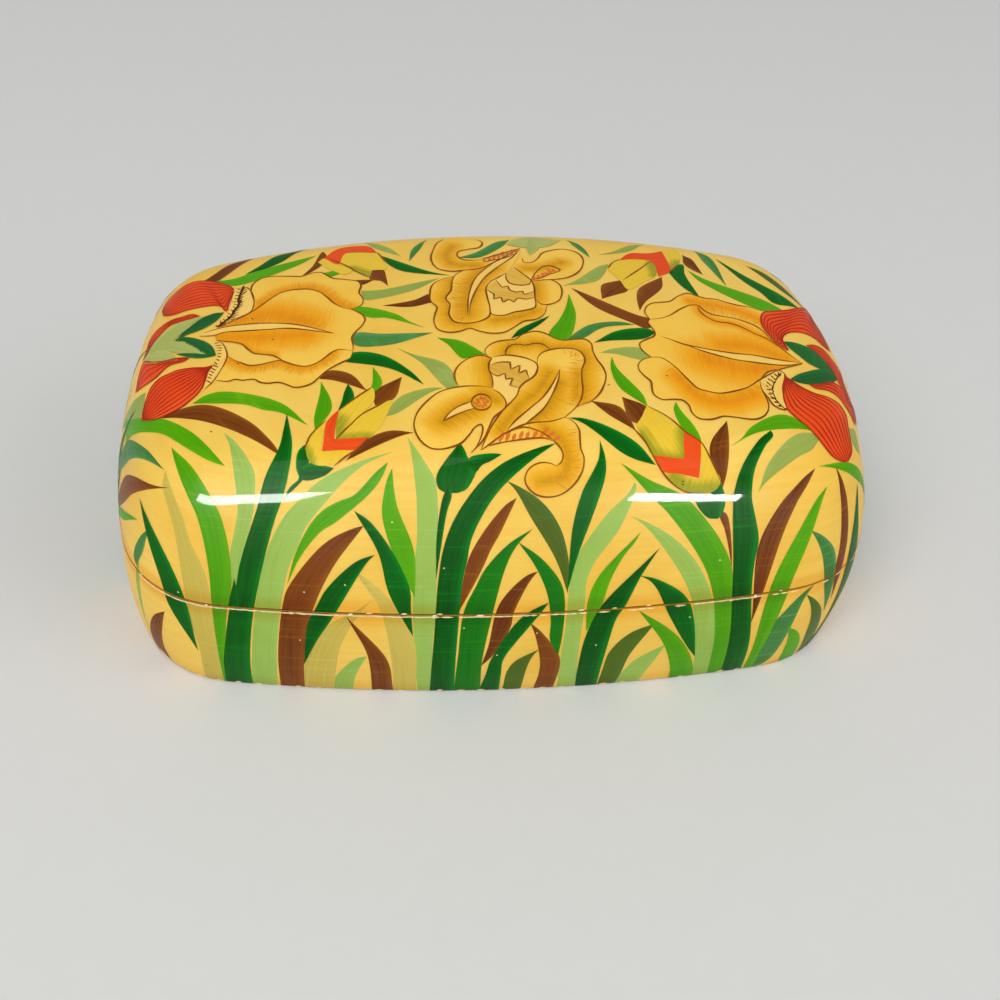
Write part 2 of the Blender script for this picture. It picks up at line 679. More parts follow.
def lay_film(name, shapes, layer, material, stacked=False):
    """Makes the shapes one film on the lid and one on the base; stacked shapes lie on each other."""
    groups = [[shape] for shape in shapes] if stacked else [shapes]
    parts = {"lid": [], "base": []}
    for order, group in enumerate(groups):
        cut, kept, tops, bodies = cut_shapes(group)
        for body in parts:
            mine = bodies == body
            if mine.any():
                lift = FILM_STEP * (layer + 1) + STACK_STEP * order * stacked - GROUND_SINK
                parts[body].append((cut, kept[mine], tops[mine] + order, lift))
    tone = np.random.default_rng(round(10 * layer)).random(len(shapes))
    for body, cuts in parts.items():
        if not cuts:
            continue
        places, normals, corners, charted, marks = [], [], [], [], []
        start = 0
        for cut, kept, tops, lift in cuts:
            used, local = np.unique(kept, return_inverse=True)
            local = local.reshape(-1, 3)
            for x, y in cut[used]:
                point, normal = blend_at(chart_tree, chart_corners, (x, y, 0), skin_points, skin_normals)
                normal /= np.linalg.norm(normal)
                places.append(point + normal * lift)
                normals.append(normal)
            corners.append(local + start)
            start += len(used)
            spots = cut[used][local]
            charted.append(spots)
            strokes = np.zeros((len(local), 3, 5))
            for index in np.unique(tops):
                mine = tops == index
                along = stroke_marks(spots[mine].reshape(-1, 2), shapes[index])
                strokes[mine, :, :4] = np.stack(along, 1).reshape(-1, 3, 4)
                strokes[mine, :, 4] = tone[index]
            marks.append(strokes)
        corners, charted, marks = (np.concatenate(rows) for rows in (corners, charted, marks))
        title = f"{body}_{name}"
        mesh = bpy.data.meshes.new(title)
        mesh.from_pydata((np.array(places) * MM).tolist(), [], corners.tolist())
        mesh.polygons.foreach_set("use_smooth", [True] * len(corners))
        mesh.uv_layers.new(name="OFBake").data.foreach_set("uv", (charted / (2 * CHART_REACH) + 0.5).ravel())
        mesh.uv_layers.new(name="brush").data.foreach_set("uv", marks[:, :, :2].ravel())
        for key, axis in (("edge", 2), ("shade", 3), ("tone", 4)):
            mesh.attributes.new(key, "FLOAT", "CORNER").data.foreach_set("value", marks[:, :, axis].ravel())
        mesh.normals_split_custom_set_from_vertices(normals)
        mesh.materials.append(material)
        film = bpy.data.objects.new(title, mesh)
        bpy.context.collection.objects.link(film)
        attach(film, body)


# ---------------------------------------------------------------------------------------------
# Blades of the back and the two ends, past what the photograph shows: the same grass carried on
# round the wall, each blade rising from the foot and bending over below the crown. Each colour's
# section below paints its share of them.
# ---------------------------------------------------------------------------------------------
HIDDEN_FROM, HIDDEN_TO = 80.0, 288.0
HIDDEN_GAP = 2.2
HIDDEN_SHARES = {"sage": 5, "pale_olive": 2, "brown": 4, "dark_olive": 2, "blue_green": 2, "grass_green": 6,
                 "mid_green": 3, "dark_green": 6}


def wall_blade(root, height, lean, width):
    """One blade from the foot, bending sideways as it climbs, widest a third of the way up."""
    share = np.linspace(0, 1, 9)
    middle_run = root + lean * (1 - share) ** 1.7
    rise = height * (1 - share)
    half = width / 2 * np.sin(np.pi / 2 * share**0.8) * (1 - 0.25 * share)
    first = list(zip(middle_run - half, rise))
    second = list(zip(middle_run + half, rise))
    return blade(first, second, rooted=True, spots=on_wall)


hidden_order = random.Random(7)
hidden_blades = {name: [] for name in HIDDEN_SHARES}
root = HIDDEN_FROM
while root < HIDDEN_TO:
    name = hidden_order.choices(list(HIDDEN_SHARES), list(HIDDEN_SHARES.values()))[0]
    height = hidden_order.choice((hidden_order.uniform(34, 46), hidden_order.uniform(16, 33)))
    lean = hidden_order.choice((-1, 1)) * hidden_order.uniform(5, 17) * height / 40
    lean = min(max(root + lean, HIDDEN_FROM), HIDDEN_TO) - root
    hidden_blades[name].append(wall_blade(root, height, lean, hidden_order.uniform(3.0, 6.0)))
    root += hidden_order.uniform(0.6, 1.4) * HIDDEN_GAP


# ---------------------------------------------------------------------------------------------
# Pale sage blades: thin opaque washes, laid first, that rise from the foot between the others.
# ---------------------------------------------------------------------------------------------
def brushed(name, main, deep, light, streak=0.5, edge_light=0.3):
    """Body colour laid with a soft brush: streaks along the stroke, a paler edge, worn flecks."""
    paint = Paint(name)
    brush = paint.uv("brush")
    edge = paint.attribute("edge")
    tone = paint.attribute("tone")
    streaks = paint.noise(paint.stretched(brush, (0.05, 1.6, 1)), 1.0, 3.0, 0.6)
    pools = paint.noise(paint.place, 0.12 * PERIOD, 3.0)
    level_marks = paint.noise(paint.stretched(paint.place, (0.04, 0.04, 1.5)), 1.0 * PERIOD, 3.0, 0.7)
    colour = paint.mix(paint.ramp(streaks + (tone - 0.5) * 0.25, 0.40, 0.66) * streak, main, deep)
    colour = paint.mix(paint.ramp(edge + (streaks - 0.5) * 1.2, 0.35, 0.9) * edge_light, colour, light)
    colour = paint.mix(paint.ramp(pools, 0.45, 0.75) * 0.35, colour, deep)
    colour = paint.mix(paint.ramp(level_marks, 0.56, 0.70) * 0.38, colour, light)
    roughness = 0.34 + 0.14 * streaks
    relief = lacquer_height(paint) + streaks * 0.5
    return paint.finish(aged(paint, colour), roughness, relief, 0.05 * MM, LACQUER)


SAGE_BLADES = {
    "left": ([(224, 432), (229, 444), (237, 500), (229, 565), (234, 594)],
             [(224, 432), (235, 441), (253, 469), (255, 482), (235, 595)]),
}
SAGE_ROOTED = {
    "left_wide": (
        [(393, 451), (358, 462), (322, 479), (298, 501), (283, 518), (264, 560), (252, 645), (253, 686)],
        [(393, 451), (358, 469), (308, 524), (297, 548), (287, 573), (277, 645), (278, 686)],
    ),
    "middle_tall": (
        [(408, 437), (412, 458), (417, 540), (413, 575), (414, 645), (417, 687)],
        [(408, 437), (428, 467), (435, 480), (436, 600), (433, 640), (430, 687)],
    ),
    "right_main": (
        [(635, 482), (630, 492), (607, 515), (576, 559), (571, 575), (566, 625), (561, 657), (557, 686)],
        [(635, 482), (637, 486), (621, 527), (595, 563), (587, 582), (585, 605), (578, 657), (576, 686)],
    ),
    "right_bowed": (
        [(632, 517), (645, 526), (678, 569), (692, 600), (695, 648), (692, 678)],
        [(632, 517), (646, 522), (676, 540), (702, 571), (716, 618), (714, 648), (707, 677)],
    ),
    "base_left": (
        [(367, 657), (355, 660), (335, 678), (332, 690)],
        [(367, 657), (361, 666), (355, 678), (353, 690)],
    ),
    "base_right": ([(666, 645), (636, 660), (624, 671), (613, 684)], [(666, 645), (643, 675), (638, 684)]),
    "far_left": (
        [(138, 560), (135, 575), (142, 622), (149, 642)],
        [(138, 560), (141, 600), (146, 622), (154, 655)],
    ),
}
SAGE_LEAVES = {
    "beside_left_iris": (
        [(361, 290), (380, 289), (440, 277)],
        [(361, 290), (364, 299), (378, 298), (415, 289), (440, 277)],
    ),
    "left_of_middle": (
        [(396, 347), (415, 354), (442, 361), (452, 370), (458, 386)],
        [(396, 347), (420, 361), (450, 389), (458, 386)],
    ),
    "over_left_bud": (
        [(384, 416), (400, 396), (430, 387), (444, 387)],
        [(384, 416), (396, 413), (430, 392), (444, 387)],
    ),
    "back_right_bud": (
        [(563, 285), (575, 280), (600, 265), (609, 263)],
        [(563, 285), (595, 281), (604, 274), (609, 263)],
    ),
    "left_of_right_iris": (
        [(600, 352), (612, 348), (640, 347), (653, 357)],
        [(600, 352), (615, 353), (641, 359), (653, 357)],
    ),
    "under_right_iris": (
        [(758, 494), (768, 465), (790, 438), (803, 432), (822, 434)],
        [(758, 494), (765, 484), (800, 456), (812, 450), (822, 434)],
    ),
    "round_under_left_iris": (
        [(145, 392), (129, 407), (124, 419), (121, 432)],
        [(145, 392), (141, 415), (132, 423), (121, 432)],
    ),
    "round_right_end": (
        [(849, 428), (856, 430), (861, 440), (863, 456)],
        [(849, 428), (852, 440), (857, 450), (863, 456)],
    ),
    "round_back_left": (
        [(364, 242), (380, 244), (391, 248), (402, 256)],
        [(364, 242), (373, 247), (388, 252), (402, 256)],
    ),
    "round_back_right": (
        [(598, 254), (612, 251), (628, 245), (645, 241)],
        [(598, 254), (615, 253), (631, 250), (645, 241)],
    ),
}
sage_strokes = [blade(*edges) for edges in SAGE_BLADES.values()]
sage_strokes += [blade(*edges, rooted=True) for edges in SAGE_ROOTED.values()]
sage_paint = brushed("paint_sage", srgb(158, 192, 88), srgb(144, 174, 68), srgb(176, 206, 118), 0.45, 0.25)
lay_film("sage", sage_strokes + hidden_blades["sage"], 0, sage_paint)
sage_leaf_paint = brushed(
    "paint_sage_leaf", srgb(156, 172, 80), srgb(140, 158, 66), srgb(176, 190, 104), 0.5, 0.25
)
lay_film("sage_leaves", leaves(SAGE_LEAVES), 0.5, sage_leaf_paint)


# ---------------------------------------------------------------------------------------------
# Pale olive blades: the thinnest washes, with the ground showing through.
# ---------------------------------------------------------------------------------------------
OLIVE_ROOTED = {
    "left": ([(165, 470), (162, 484), (175, 538), (190, 620), (199, 648), (204, 672)],
             [(165, 470), (183, 520), (190, 543), (201, 565), (208, 587), (217, 648), (223, 677)]),
    "base_tall": ([(356, 572), (362, 583), (380, 610), (392, 665), (393, 688)],
                  [(356, 572), (370, 582), (392, 603), (411, 632), (416, 650), (416, 687)]),
    "base_arched": ([(372, 601), (355, 612), (330, 625), (311, 650), (305, 666), (303, 688)],
                    [(372, 601), (360, 614), (343, 641), (338, 657), (334, 688)]),
}
olive_strokes = [blade(*edges, rooted=True) for edges in OLIVE_ROOTED.values()]
olive_paint = brushed(
    "paint_pale_olive", srgb(210, 188, 88), srgb(196, 172, 72), srgb(226, 200, 104), 0.6, 0.2
)
lay_film("pale_olive", olive_strokes + hidden_blades["pale_olive"], 1, olive_paint)


# ---------------------------------------------------------------------------------------------
# Brown blades and leaves, with a paler rubbed streak along the broad ones.
# ---------------------------------------------------------------------------------------------
BROWN_ROOTED = {
    "left_broad": ([(364, 526), (350, 530), (323, 545), (288, 588), (283, 603), (278, 655), (281, 687)],
                   [(364, 526), (331, 571), (309, 622), (304, 668), (305, 688)]),
    "base_dark": ([(346, 617), (366, 652), (370, 668), (372, 690)],
                  [(346, 617), (381, 652), (389, 665), (393, 690)]),
    "base_middle": ([(530, 623), (535, 635), (540, 661), (539, 673), (534, 687)],
                    [(530, 623), (542, 633), (559, 656), (560, 666), (553, 687)]),
    "base_far_left": ([(164, 612), (152, 617), (154, 642), (160, 655)],
                      [(164, 612), (162, 624), (164, 648), (168, 660)]),
}
BROWN_LEAVES = {
    "left_iris_long": (
        [(160, 418), (202, 404), (248, 420), (273, 443), (281, 456)],
        [(160, 418), (200, 420), (240, 433), (281, 456)],
    ),
    "round_left_end": (
        [(169, 488), (152, 485), (126, 475), (117, 478)],
        [(169, 488), (140, 491), (130, 495), (117, 503)],
    ),
    "middle": (
        [(517, 498), (505, 506), (470, 556), (458, 614)],
        [(517, 498), (499, 536), (491, 550), (483, 568), (458, 614)],
    ),
    "middle_low": (
        [(538, 572), (527, 576), (500, 604), (488, 648), (481, 667)],
        [(538, 572), (530, 582), (514, 613), (511, 627), (493, 656), (481, 667)],
    ),
    "right": (
        [(816, 468), (803, 479), (772, 518), (758, 550), (751, 624)],
        [(816, 468), (786, 528), (772, 568), (751, 624)],
    ),
    "right_end": (
        [(836, 466), (842, 505), (840, 550), (836, 568), (831, 600)],
        [(836, 466), (844, 482), (848, 500), (847, 548), (831, 600)],
    ),
    "beside_left_bud": (
        [(345, 461), (365, 440), (390, 430), (414, 432)],
        [(345, 461), (402, 435), (414, 432)],
    ),
    "left_bud_tip": ([(402, 376), (373, 392), (375, 405)], [(402, 376), (394, 398), (375, 405)]),
    "under_left_iris": (
        [(319, 378), (328, 370), (350, 373), (367, 390)],
        [(319, 378), (335, 380), (367, 390)],
    ),
    "back_left": (
        [(302, 275), (312, 266), (323, 251), (328, 257)],
        [(302, 275), (312, 271), (321, 265), (328, 257)],
    ),
    "back_left_bud_tip": (
        [(388, 285), (386, 276), (383, 269), (372, 270)],
        [(388, 285), (380, 280), (370, 279), (372, 270)],
    ),
    "left_iris_foot": (
        [(348, 280), (362, 279), (374, 279)],
        [(348, 280), (357, 284), (363, 284), (374, 279)],
    ),
    "towards_middle": (
        [(382, 305), (415, 299), (430, 293), (434, 301)],
        [(382, 305), (412, 306), (434, 301)],
    ),
    "right_long": (
        [(571, 287), (640, 315), (657, 318)],
        [(571, 287), (597, 307), (632, 322), (648, 328), (657, 318)],
    ),
    "back_right_bud_tip": (
        [(602, 298), (602, 284), (612, 281), (624, 279)],
        [(602, 298), (616, 294), (628, 290), (624, 279)],
    ),
    "back_right_bud_leaf": (
        [(640, 310), (637, 298), (639, 288), (662, 276)],
        [(640, 310), (645, 302), (662, 287), (662, 276)],
    ),
    "right_bud": ([(591, 400), (618, 405), (627, 413), (636, 430)], [(591, 400), (612, 416), (636, 430)]),
    "right_bud_tip": (
        [(652, 426), (631, 420), (622, 396)],
        [(652, 426), (649, 414), (647, 406), (622, 396)],
    ),
    "over_right_bud": (
        [(727, 420), (712, 440), (710, 452), (723, 488)],
        [(727, 420), (727, 474), (723, 488)],
    ),
    "right_bud_stem": (
        [(721, 511), (720, 517), (725, 530), (732, 568)],
        [(721, 511), (727, 514), (732, 545), (732, 568)],
    ),
    "round_back_left_edge": (
        [(256, 257), (232, 263), (215, 273), (198, 283)],
        [(256, 257), (240, 265), (212, 283), (198, 283)],
    ),
    "round_back_right_edge": (
        [(703, 274), (697, 265), (691, 258), (682, 254)],
        [(703, 274), (692, 269), (684, 263), (682, 254)],
    ),
}
brown_strokes = [blade(*edges, rooted=True) for edges in BROWN_ROOTED.values()]
brown_strokes += leaves(BROWN_LEAVES)
brown_paint = brushed("paint_brown", srgb(128, 66, 14), srgb(88, 42, 10), srgb(170, 104, 36), 0.7, 0.35)
lay_film("brown", brown_strokes + hidden_blades["brown"], 2, brown_paint)


# ---------------------------------------------------------------------------------------------
# Dark olive blades: brown worked into green while wet.
# ---------------------------------------------------------------------------------------------
DARK_OLIVE_ROOTED = {
    "base_right": ([(655, 624), (630, 634), (610, 652), (602, 672), (597, 685)],
                   [(655, 624), (630, 655), (620, 675), (614, 685)]),
    "base_far_right": ([(807, 595), (811, 605), (811, 620), (807, 632), (800, 648)],
                       [(807, 595), (816, 600), (822, 610), (820, 622), (811, 640)]),
    "base_small": ([(539, 650), (515, 662), (507, 672), (503, 687)],
                   [(539, 650), (532, 658), (527, 668), (521, 687)]),
}
DARK_OLIVE_LEAVES = {
    "middle": ([(507, 481), (516, 491), (530, 516), (556, 560), (568, 594)],
               [(507, 481), (520, 487), (543, 503), (560, 527), (569, 562), (568, 594)]),
    "back_right": ([(746, 265), (765, 273), (800, 297), (815, 312)],
                   [(746, 265), (783, 291), (800, 304), (815, 312)]),
}
dark_olive_strokes = [blade(*edges, rooted=True) for edges in DARK_OLIVE_ROOTED.values()]
dark_olive_strokes += leaves(DARK_OLIVE_LEAVES)
dark_olive_paint = brushed(
    "paint_dark_olive", srgb(80, 106, 24), srgb(76, 88, 18), srgb(76, 126, 50), 0.6, 0.5
)
lay_film("dark_olive", dark_olive_strokes + hidden_blades["dark_olive"], 3, dark_olive_paint)


# ---------------------------------------------------------------------------------------------
# Blue-green leaves, most of them on the lid.
# ---------------------------------------------------------------------------------------------
BLUE_GREEN_LEAVES = {
    "round_left_end": (
        [(164, 470), (148, 451), (128, 440), (116, 444)],
        [(164, 470), (148, 461), (128, 460), (116, 466)],
    ),
    "left_wall": (
        [(149, 529), (140, 536), (133, 556), (136, 566)],
        [(149, 529), (145, 540), (142, 552), (136, 566)],
    ),
    "right_wall": (
        [(812, 531), (822, 552), (825, 590), (824, 612)],
        [(812, 531), (822, 535), (836, 553), (832, 590), (824, 612)],
    ),
    "left_of_middle": (
        [(352, 338), (357, 332), (380, 333), (433, 332)],
        [(352, 338), (356, 345), (390, 344), (433, 332)],
    ),
    "right_of_middle": (
        [(566, 339), (590, 324), (620, 321), (635, 324)],
        [(566, 339), (582, 338), (603, 327), (635, 324)],
    ),
    "round_back_left": (
        [(409, 261), (411, 250), (417, 244), (427, 239)],
        [(409, 261), (415, 254), (421, 247), (427, 239)],
    ),
    "round_back_middle": (
        [(458, 257), (475, 252), (497, 241), (510, 239)],
        [(458, 257), (478, 257), (502, 246), (510, 239)],
    ),
    "round_back_right": (
        [(590, 257), (580, 250), (572, 244), (566, 239)],
        [(590, 257), (586, 250), (579, 244), (566, 239)],
    ),
    "base_right": (
        [(815, 585), (803, 594), (776, 621), (757, 651), (752, 671)],
        [(815, 585), (806, 597), (771, 658), (752, 671)],
    ),
    "round_back_right_spray": ([(727, 286), (700, 257), (693, 250)], [(727, 286), (710, 257), (693, 250)]),
}
blue_green_strokes = leaves(BLUE_GREEN_LEAVES)
blue_green_paint = brushed(
    "paint_blue_green", srgb(74, 136, 64), srgb(54, 114, 50), srgb(122, 182, 118), 0.5, 0.3
)
lay_film("blue_green", blue_green_strokes + hidden_blades["blue_green"], 4, blue_green_paint)


# ---------------------------------------------------------------------------------------------
# Grass green blades and leaves, the brightest of the greens.
# ---------------------------------------------------------------------------------------------
GRASS_ROOTED = {
    "left": (
        [(171, 447), (200, 528), (209, 575), (211, 600), (218, 652), (223, 676)],
        [(171, 447), (191, 466), (210, 496), (227, 541), (231, 588), (227, 610), (225, 640), (226, 680)],
    ),
    "right_arched": (
        [(621, 463), (655, 500), (668, 513), (708, 575), (715, 635), (711, 658), (707, 677)],
        [(621, 463), (650, 480), (681, 494), (692, 503), (730, 560), (730, 640), (722, 675)],
    ),
    "right": (
        [(828, 486), (817, 500), (780, 567), (766, 603), (750, 655), (743, 673)],
        [(828, 486), (810, 540), (793, 580), (786, 599), (760, 652), (752, 671)],
    ),
    "base_right": (
        [(639, 611), (664, 645), (670, 670), (668, 681)],
        [(639, 611), (666, 627), (680, 639), (690, 655), (693, 668), (692, 680)],
    ),
    "base_far_right": (
        [(789, 628), (788, 640), (784, 650), (779, 660)],
        [(789, 628), (798, 632), (800, 641), (794, 654)],
    ),
}
GRASS_LEAVES = {
    "left_curved": (
        [(388, 462), (378, 470), (353, 496), (340, 501), (325, 509), (312, 522), (296, 552), (287, 585)],
        [(388, 462), (383, 475), (373, 490), (335, 523), (322, 531), (301, 556), (287, 585)],
    ),
    "middle": (
        [(392, 468), (386, 483), (382, 514), (398, 566), (415, 598)],
        [(392, 468), (396, 502), (414, 552), (415, 598)],
    ),
    "right_curved": (
        [(641, 532), (598, 578), (588, 602), (586, 632)],
        [(641, 532), (635, 543), (625, 555), (611, 580), (601, 608), (586, 632)],
    ),
    "left_iris_upper": (
        [(192, 403), (205, 395), (222, 391), (280, 402), (308, 425)],
        [(192, 403), (245, 404), (262, 409), (280, 412), (308, 425)],
    ),
    "round_left_iris_lower": (
        [(225, 466), (196, 435), (168, 420), (133, 419), (124, 424), (118, 432)],
        [(225, 466), (208, 460), (163, 434), (152, 432), (127, 440), (117, 446)],
    ),
    "above_left_bud": (
        [(321, 381), (320, 392), (314, 418), (315, 430)],
        [(321, 381), (331, 400), (331, 410), (315, 430)],
    ),
    "left_bud_side": (
        [(373, 366), (372, 384), (369, 390), (362, 396)],
        [(373, 366), (382, 380), (380, 387), (362, 396)],
    ),
    "left_iris_tip": (
        [(346, 310), (358, 306), (395, 313), (410, 321), (425, 327)],
        [(346, 310), (372, 317), (385, 317), (425, 327)],
    ),
    "back_left_small": (
        [(318, 273), (330, 271), (345, 267)],
        [(318, 273), (328, 276), (338, 274), (345, 267)],
    ),
    "back_left_long": (
        [(214, 281), (235, 278), (252, 272), (316, 255)],
        [(214, 281), (228, 285), (242, 284), (297, 265), (316, 255)],
    ),
    "above_middle_iris": (
        [(437, 337), (460, 340), (486, 354)],
        [(437, 337), (447, 343), (463, 358), (474, 355), (486, 354)],
    ),
    "between_irises": (
        [(569, 293), (566, 306), (560, 318), (549, 334), (554, 341), (561, 343)],
        [(569, 293), (576, 315), (570, 337), (561, 343)],
    ),
    "right_of_middle": (
        [(612, 356), (611, 368), (620, 387), (648, 406)],
        [(612, 356), (617, 367), (643, 394), (648, 406)],
    ),
    "over_right_bud": (
        [(676, 401), (674, 409), (682, 427), (702, 448)],
        [(676, 401), (682, 411), (691, 421), (701, 438), (702, 448)],
    ),
    "under_right_iris": (
        [(731, 446), (742, 438), (752, 426), (779, 414), (792, 416), (813, 430)],
        [(731, 446), (758, 432), (795, 428), (813, 430)],
    ),
    "round_right_end": (
        [(819, 466), (847, 462), (857, 466), (866, 476)],
        [(819, 466), (835, 468), (849, 473), (858, 480), (866, 486)],
    ),
    "back_right_long": (
        [(688, 270), (706, 279), (765, 300), (782, 309)],
        [(688, 270), (702, 282), (766, 311), (782, 309)],
    ),
    "round_left_end_small": ([(137, 520), (128, 514), (119, 507)], [(137, 520), (128, 520), (118, 520)]),
}
grass_strokes = [blade(*edges, rooted=True) for edges in GRASS_ROOTED.values()]
grass_strokes += leaves(GRASS_LEAVES)
grass_paint = brushed("paint_grass_green", srgb(88, 168, 0), srgb(66, 144, 2), srgb(126, 184, 12), 0.55, 0.3)
lay_film("grass_green", grass_strokes + hidden_blades["grass_green"], 5, grass_paint)


# ---------------------------------------------------------------------------------------------
# Mid green blades, between the grass green and the dark green.
# ---------------------------------------------------------------------------------------------
MID_ROOTED = {
    "middle": ([(533, 529), (508, 545), (485, 570), (477, 585), (464, 612), (458, 657), (454, 687)],
               [(533, 529), (517, 546), (505, 570), (483, 656), (480, 687)]),
}
MID_LEAVES = {
    "middle_right": ([(518, 542), (535, 566), (547, 593), (551, 622), (550, 640), (558, 656)],
                     [(518, 542), (543, 560), (561, 583), (565, 600), (562, 638), (558, 656)]),
}
mid_strokes = [blade(*edges, rooted=True) for edges in MID_ROOTED.values()]
mid_strokes += leaves(MID_LEAVES)
mid_paint = brushed("paint_mid_green", srgb(20, 118, 10), srgb(6, 98, 8), srgb(58, 146, 24), 0.6, 0.3)
lay_film("mid_green", mid_strokes + hidden_blades["mid_green"], 6, mid_paint)


# ---------------------------------------------------------------------------------------------
# Dark green blades, leaves, bud cups and stems, laid last of the grass, with a lighter edge.
# ---------------------------------------------------------------------------------------------
DARK_ROOTED = {
    "left_main": (
        [(287, 413), (280, 444), (264, 480), (240, 563), (236, 585), (230, 606), (224, 655), (226, 685)],
        [(287, 413), (292, 443), (287, 480), (275, 519), (254, 608), (250, 658), (253, 685)],
    ),
    "middle_main": (
        [(556, 443), (540, 447), (500, 465), (470, 495), (445, 543), (433, 650), (430, 687)],
        [(556, 443), (525, 466), (495, 496), (472, 538), (467, 562), (463, 580), (456, 655), (454, 687)],
    ),
    "base_middle": (
        [(549, 603), (530, 612), (514, 626), (491, 660), (486, 674), (480, 688)],
        [(549, 603), (504, 659), (501, 674), (499, 688)],
    ),
    "right_leaning": (
        [(660, 548), (602, 606), (586, 636), (577, 672), (575, 686)],
        [(660, 548), (641, 577), (625, 607), (617, 618), (602, 664), (596, 686)],
    ),
    "right_main": (
        [(771, 430), (758, 441), (738, 478), (733, 580), (730, 635), (726, 655), (721, 677)],
        [(771, 430), (774, 435), (766, 445), (755, 470), (752, 495), (759, 540), (755, 562), (752, 590),
         (749, 645), (741, 674)],
    ),
    "right_end_thin": (
        [(858, 483), (852, 540), (829, 613), (818, 642)],
        [(858, 483), (859, 512), (852, 568), (836, 617), (825, 645)],
    ),
}
DARK_LEAVES = {
    "far_left": (
        [(139, 498), (147, 538), (161, 582), (168, 604), (198, 651)],
        [(139, 498), (186, 604), (198, 651)],
    ),
    "left_spike": ([(234, 579), (231, 592), (228, 606)], [(234, 579), (237, 592), (238, 606), (228, 606)]),
    "left_small": (
        [(375, 555), (356, 562), (326, 590), (316, 608), (308, 623), (304, 665)],
        [(375, 555), (367, 563), (330, 622), (317, 641), (304, 665)],
    ),
    "left_of_middle": (
        [(354, 511), (378, 553), (389, 594), (413, 637)],
        [(354, 511), (369, 521), (393, 553), (410, 590), (411, 610), (413, 637)],
    ),
    "right_tall": (
        [(600, 440), (599, 458), (583, 491), (573, 527), (567, 593)],
        [(600, 440), (606, 460), (605, 479), (578, 556), (567, 593)],
    ),
    "right_low": (
        [(640, 576), (650, 581), (657, 589), (669, 615), (686, 645), (695, 657)],
        [(640, 576), (656, 579), (681, 592), (690, 603), (694, 618), (695, 657)],
    ),
    "beside_left_iris": (
        [(342, 361), (353, 352), (381, 354), (411, 371), (424, 384)],
        [(342, 361), (390, 368), (424, 384)],
    ),
    "back_left": ([(380, 255), (430, 271), (451, 275)], [(380, 255), (390, 265), (405, 271), (451, 275)]),
    "above_left_bud": (
        [(348, 383), (344, 392), (342, 400), (338, 410)],
        [(348, 383), (353, 391), (354, 398), (350, 405), (338, 410)],
    ),
    "left_of_right_bud": (
        [(568, 417), (585, 418), (635, 441), (656, 465)],
        [(568, 417), (580, 421), (620, 451), (635, 459), (656, 465)],
    ),
    "above_middle_iris": (
        [(511, 338), (519, 329), (550, 315)],
        [(511, 338), (522, 334), (541, 323), (550, 315)],
    ),
    "left_of_right_iris": (
        [(594, 342), (618, 330), (648, 328), (656, 332)],
        [(594, 342), (610, 340), (645, 338), (656, 332)],
    ),
    "right_iris_back": (
        [(669, 272), (678, 264), (683, 264), (685, 274), (700, 297)],
        [(669, 272), (675, 279), (685, 288), (700, 297)],
    ),
    "back_right_long": (
        [(715, 258), (746, 276), (785, 297), (799, 308)],
        [(715, 258), (744, 281), (761, 292), (775, 303), (799, 308)],
    ),
    "round_back_left_thin": (
        [(245, 274), (262, 264), (278, 255), (296, 248)],
        [(245, 274), (266, 268), (284, 260), (302, 250)],
    ),
    "left_bud_cup_and_stem": (
        [(282, 501), (290, 487), (299, 478), (296, 469), (298, 451), (305, 444)],
        [(282, 501), (307, 473), (308, 453), (305, 444)],
    ),
    "left_bud_cup_lobe": (
        [(300, 470), (308, 463), (334, 468)],
        [(300, 470), (303, 480), (324, 476), (334, 468)],
    ),
    "middle_bud": (
        [(460, 442), (438, 472), (436, 481), (439, 489), (447, 493), (458, 493)],
        [(460, 442), (465, 450), (469, 459), (478, 462), (467, 489), (458, 493)],
    ),
    "middle_bud_lobe": (
        [(466, 462), (470, 457), (492, 453), (502, 454)],
        [(466, 462), (476, 472), (482, 465), (491, 461), (502, 454)],
    ),
    "middle_bud_stem": (
        [(448, 486), (443, 497), (437, 535), (436, 580)],
        [(448, 486), (452, 495), (447, 512), (436, 580)],
    ),
    "right_bud_cup": (
        [(721, 483), (715, 490), (706, 496), (696, 501), (708, 518), (718, 519)],
        [(721, 483), (726, 499), (722, 515), (718, 519)],
    ),
}
dark_strokes = [blade(*edges, rooted=True) for edges in DARK_ROOTED.values()]
dark_strokes += leaves(DARK_LEAVES)
dark_paint = brushed("paint_dark_green", srgb(2, 98, 12), srgb(0, 70, 6), srgb(0, 138, 36), 0.7, 0.6)
lay_film("dark_green", dark_strokes + hidden_blades["dark_green"], 7, dark_paint)


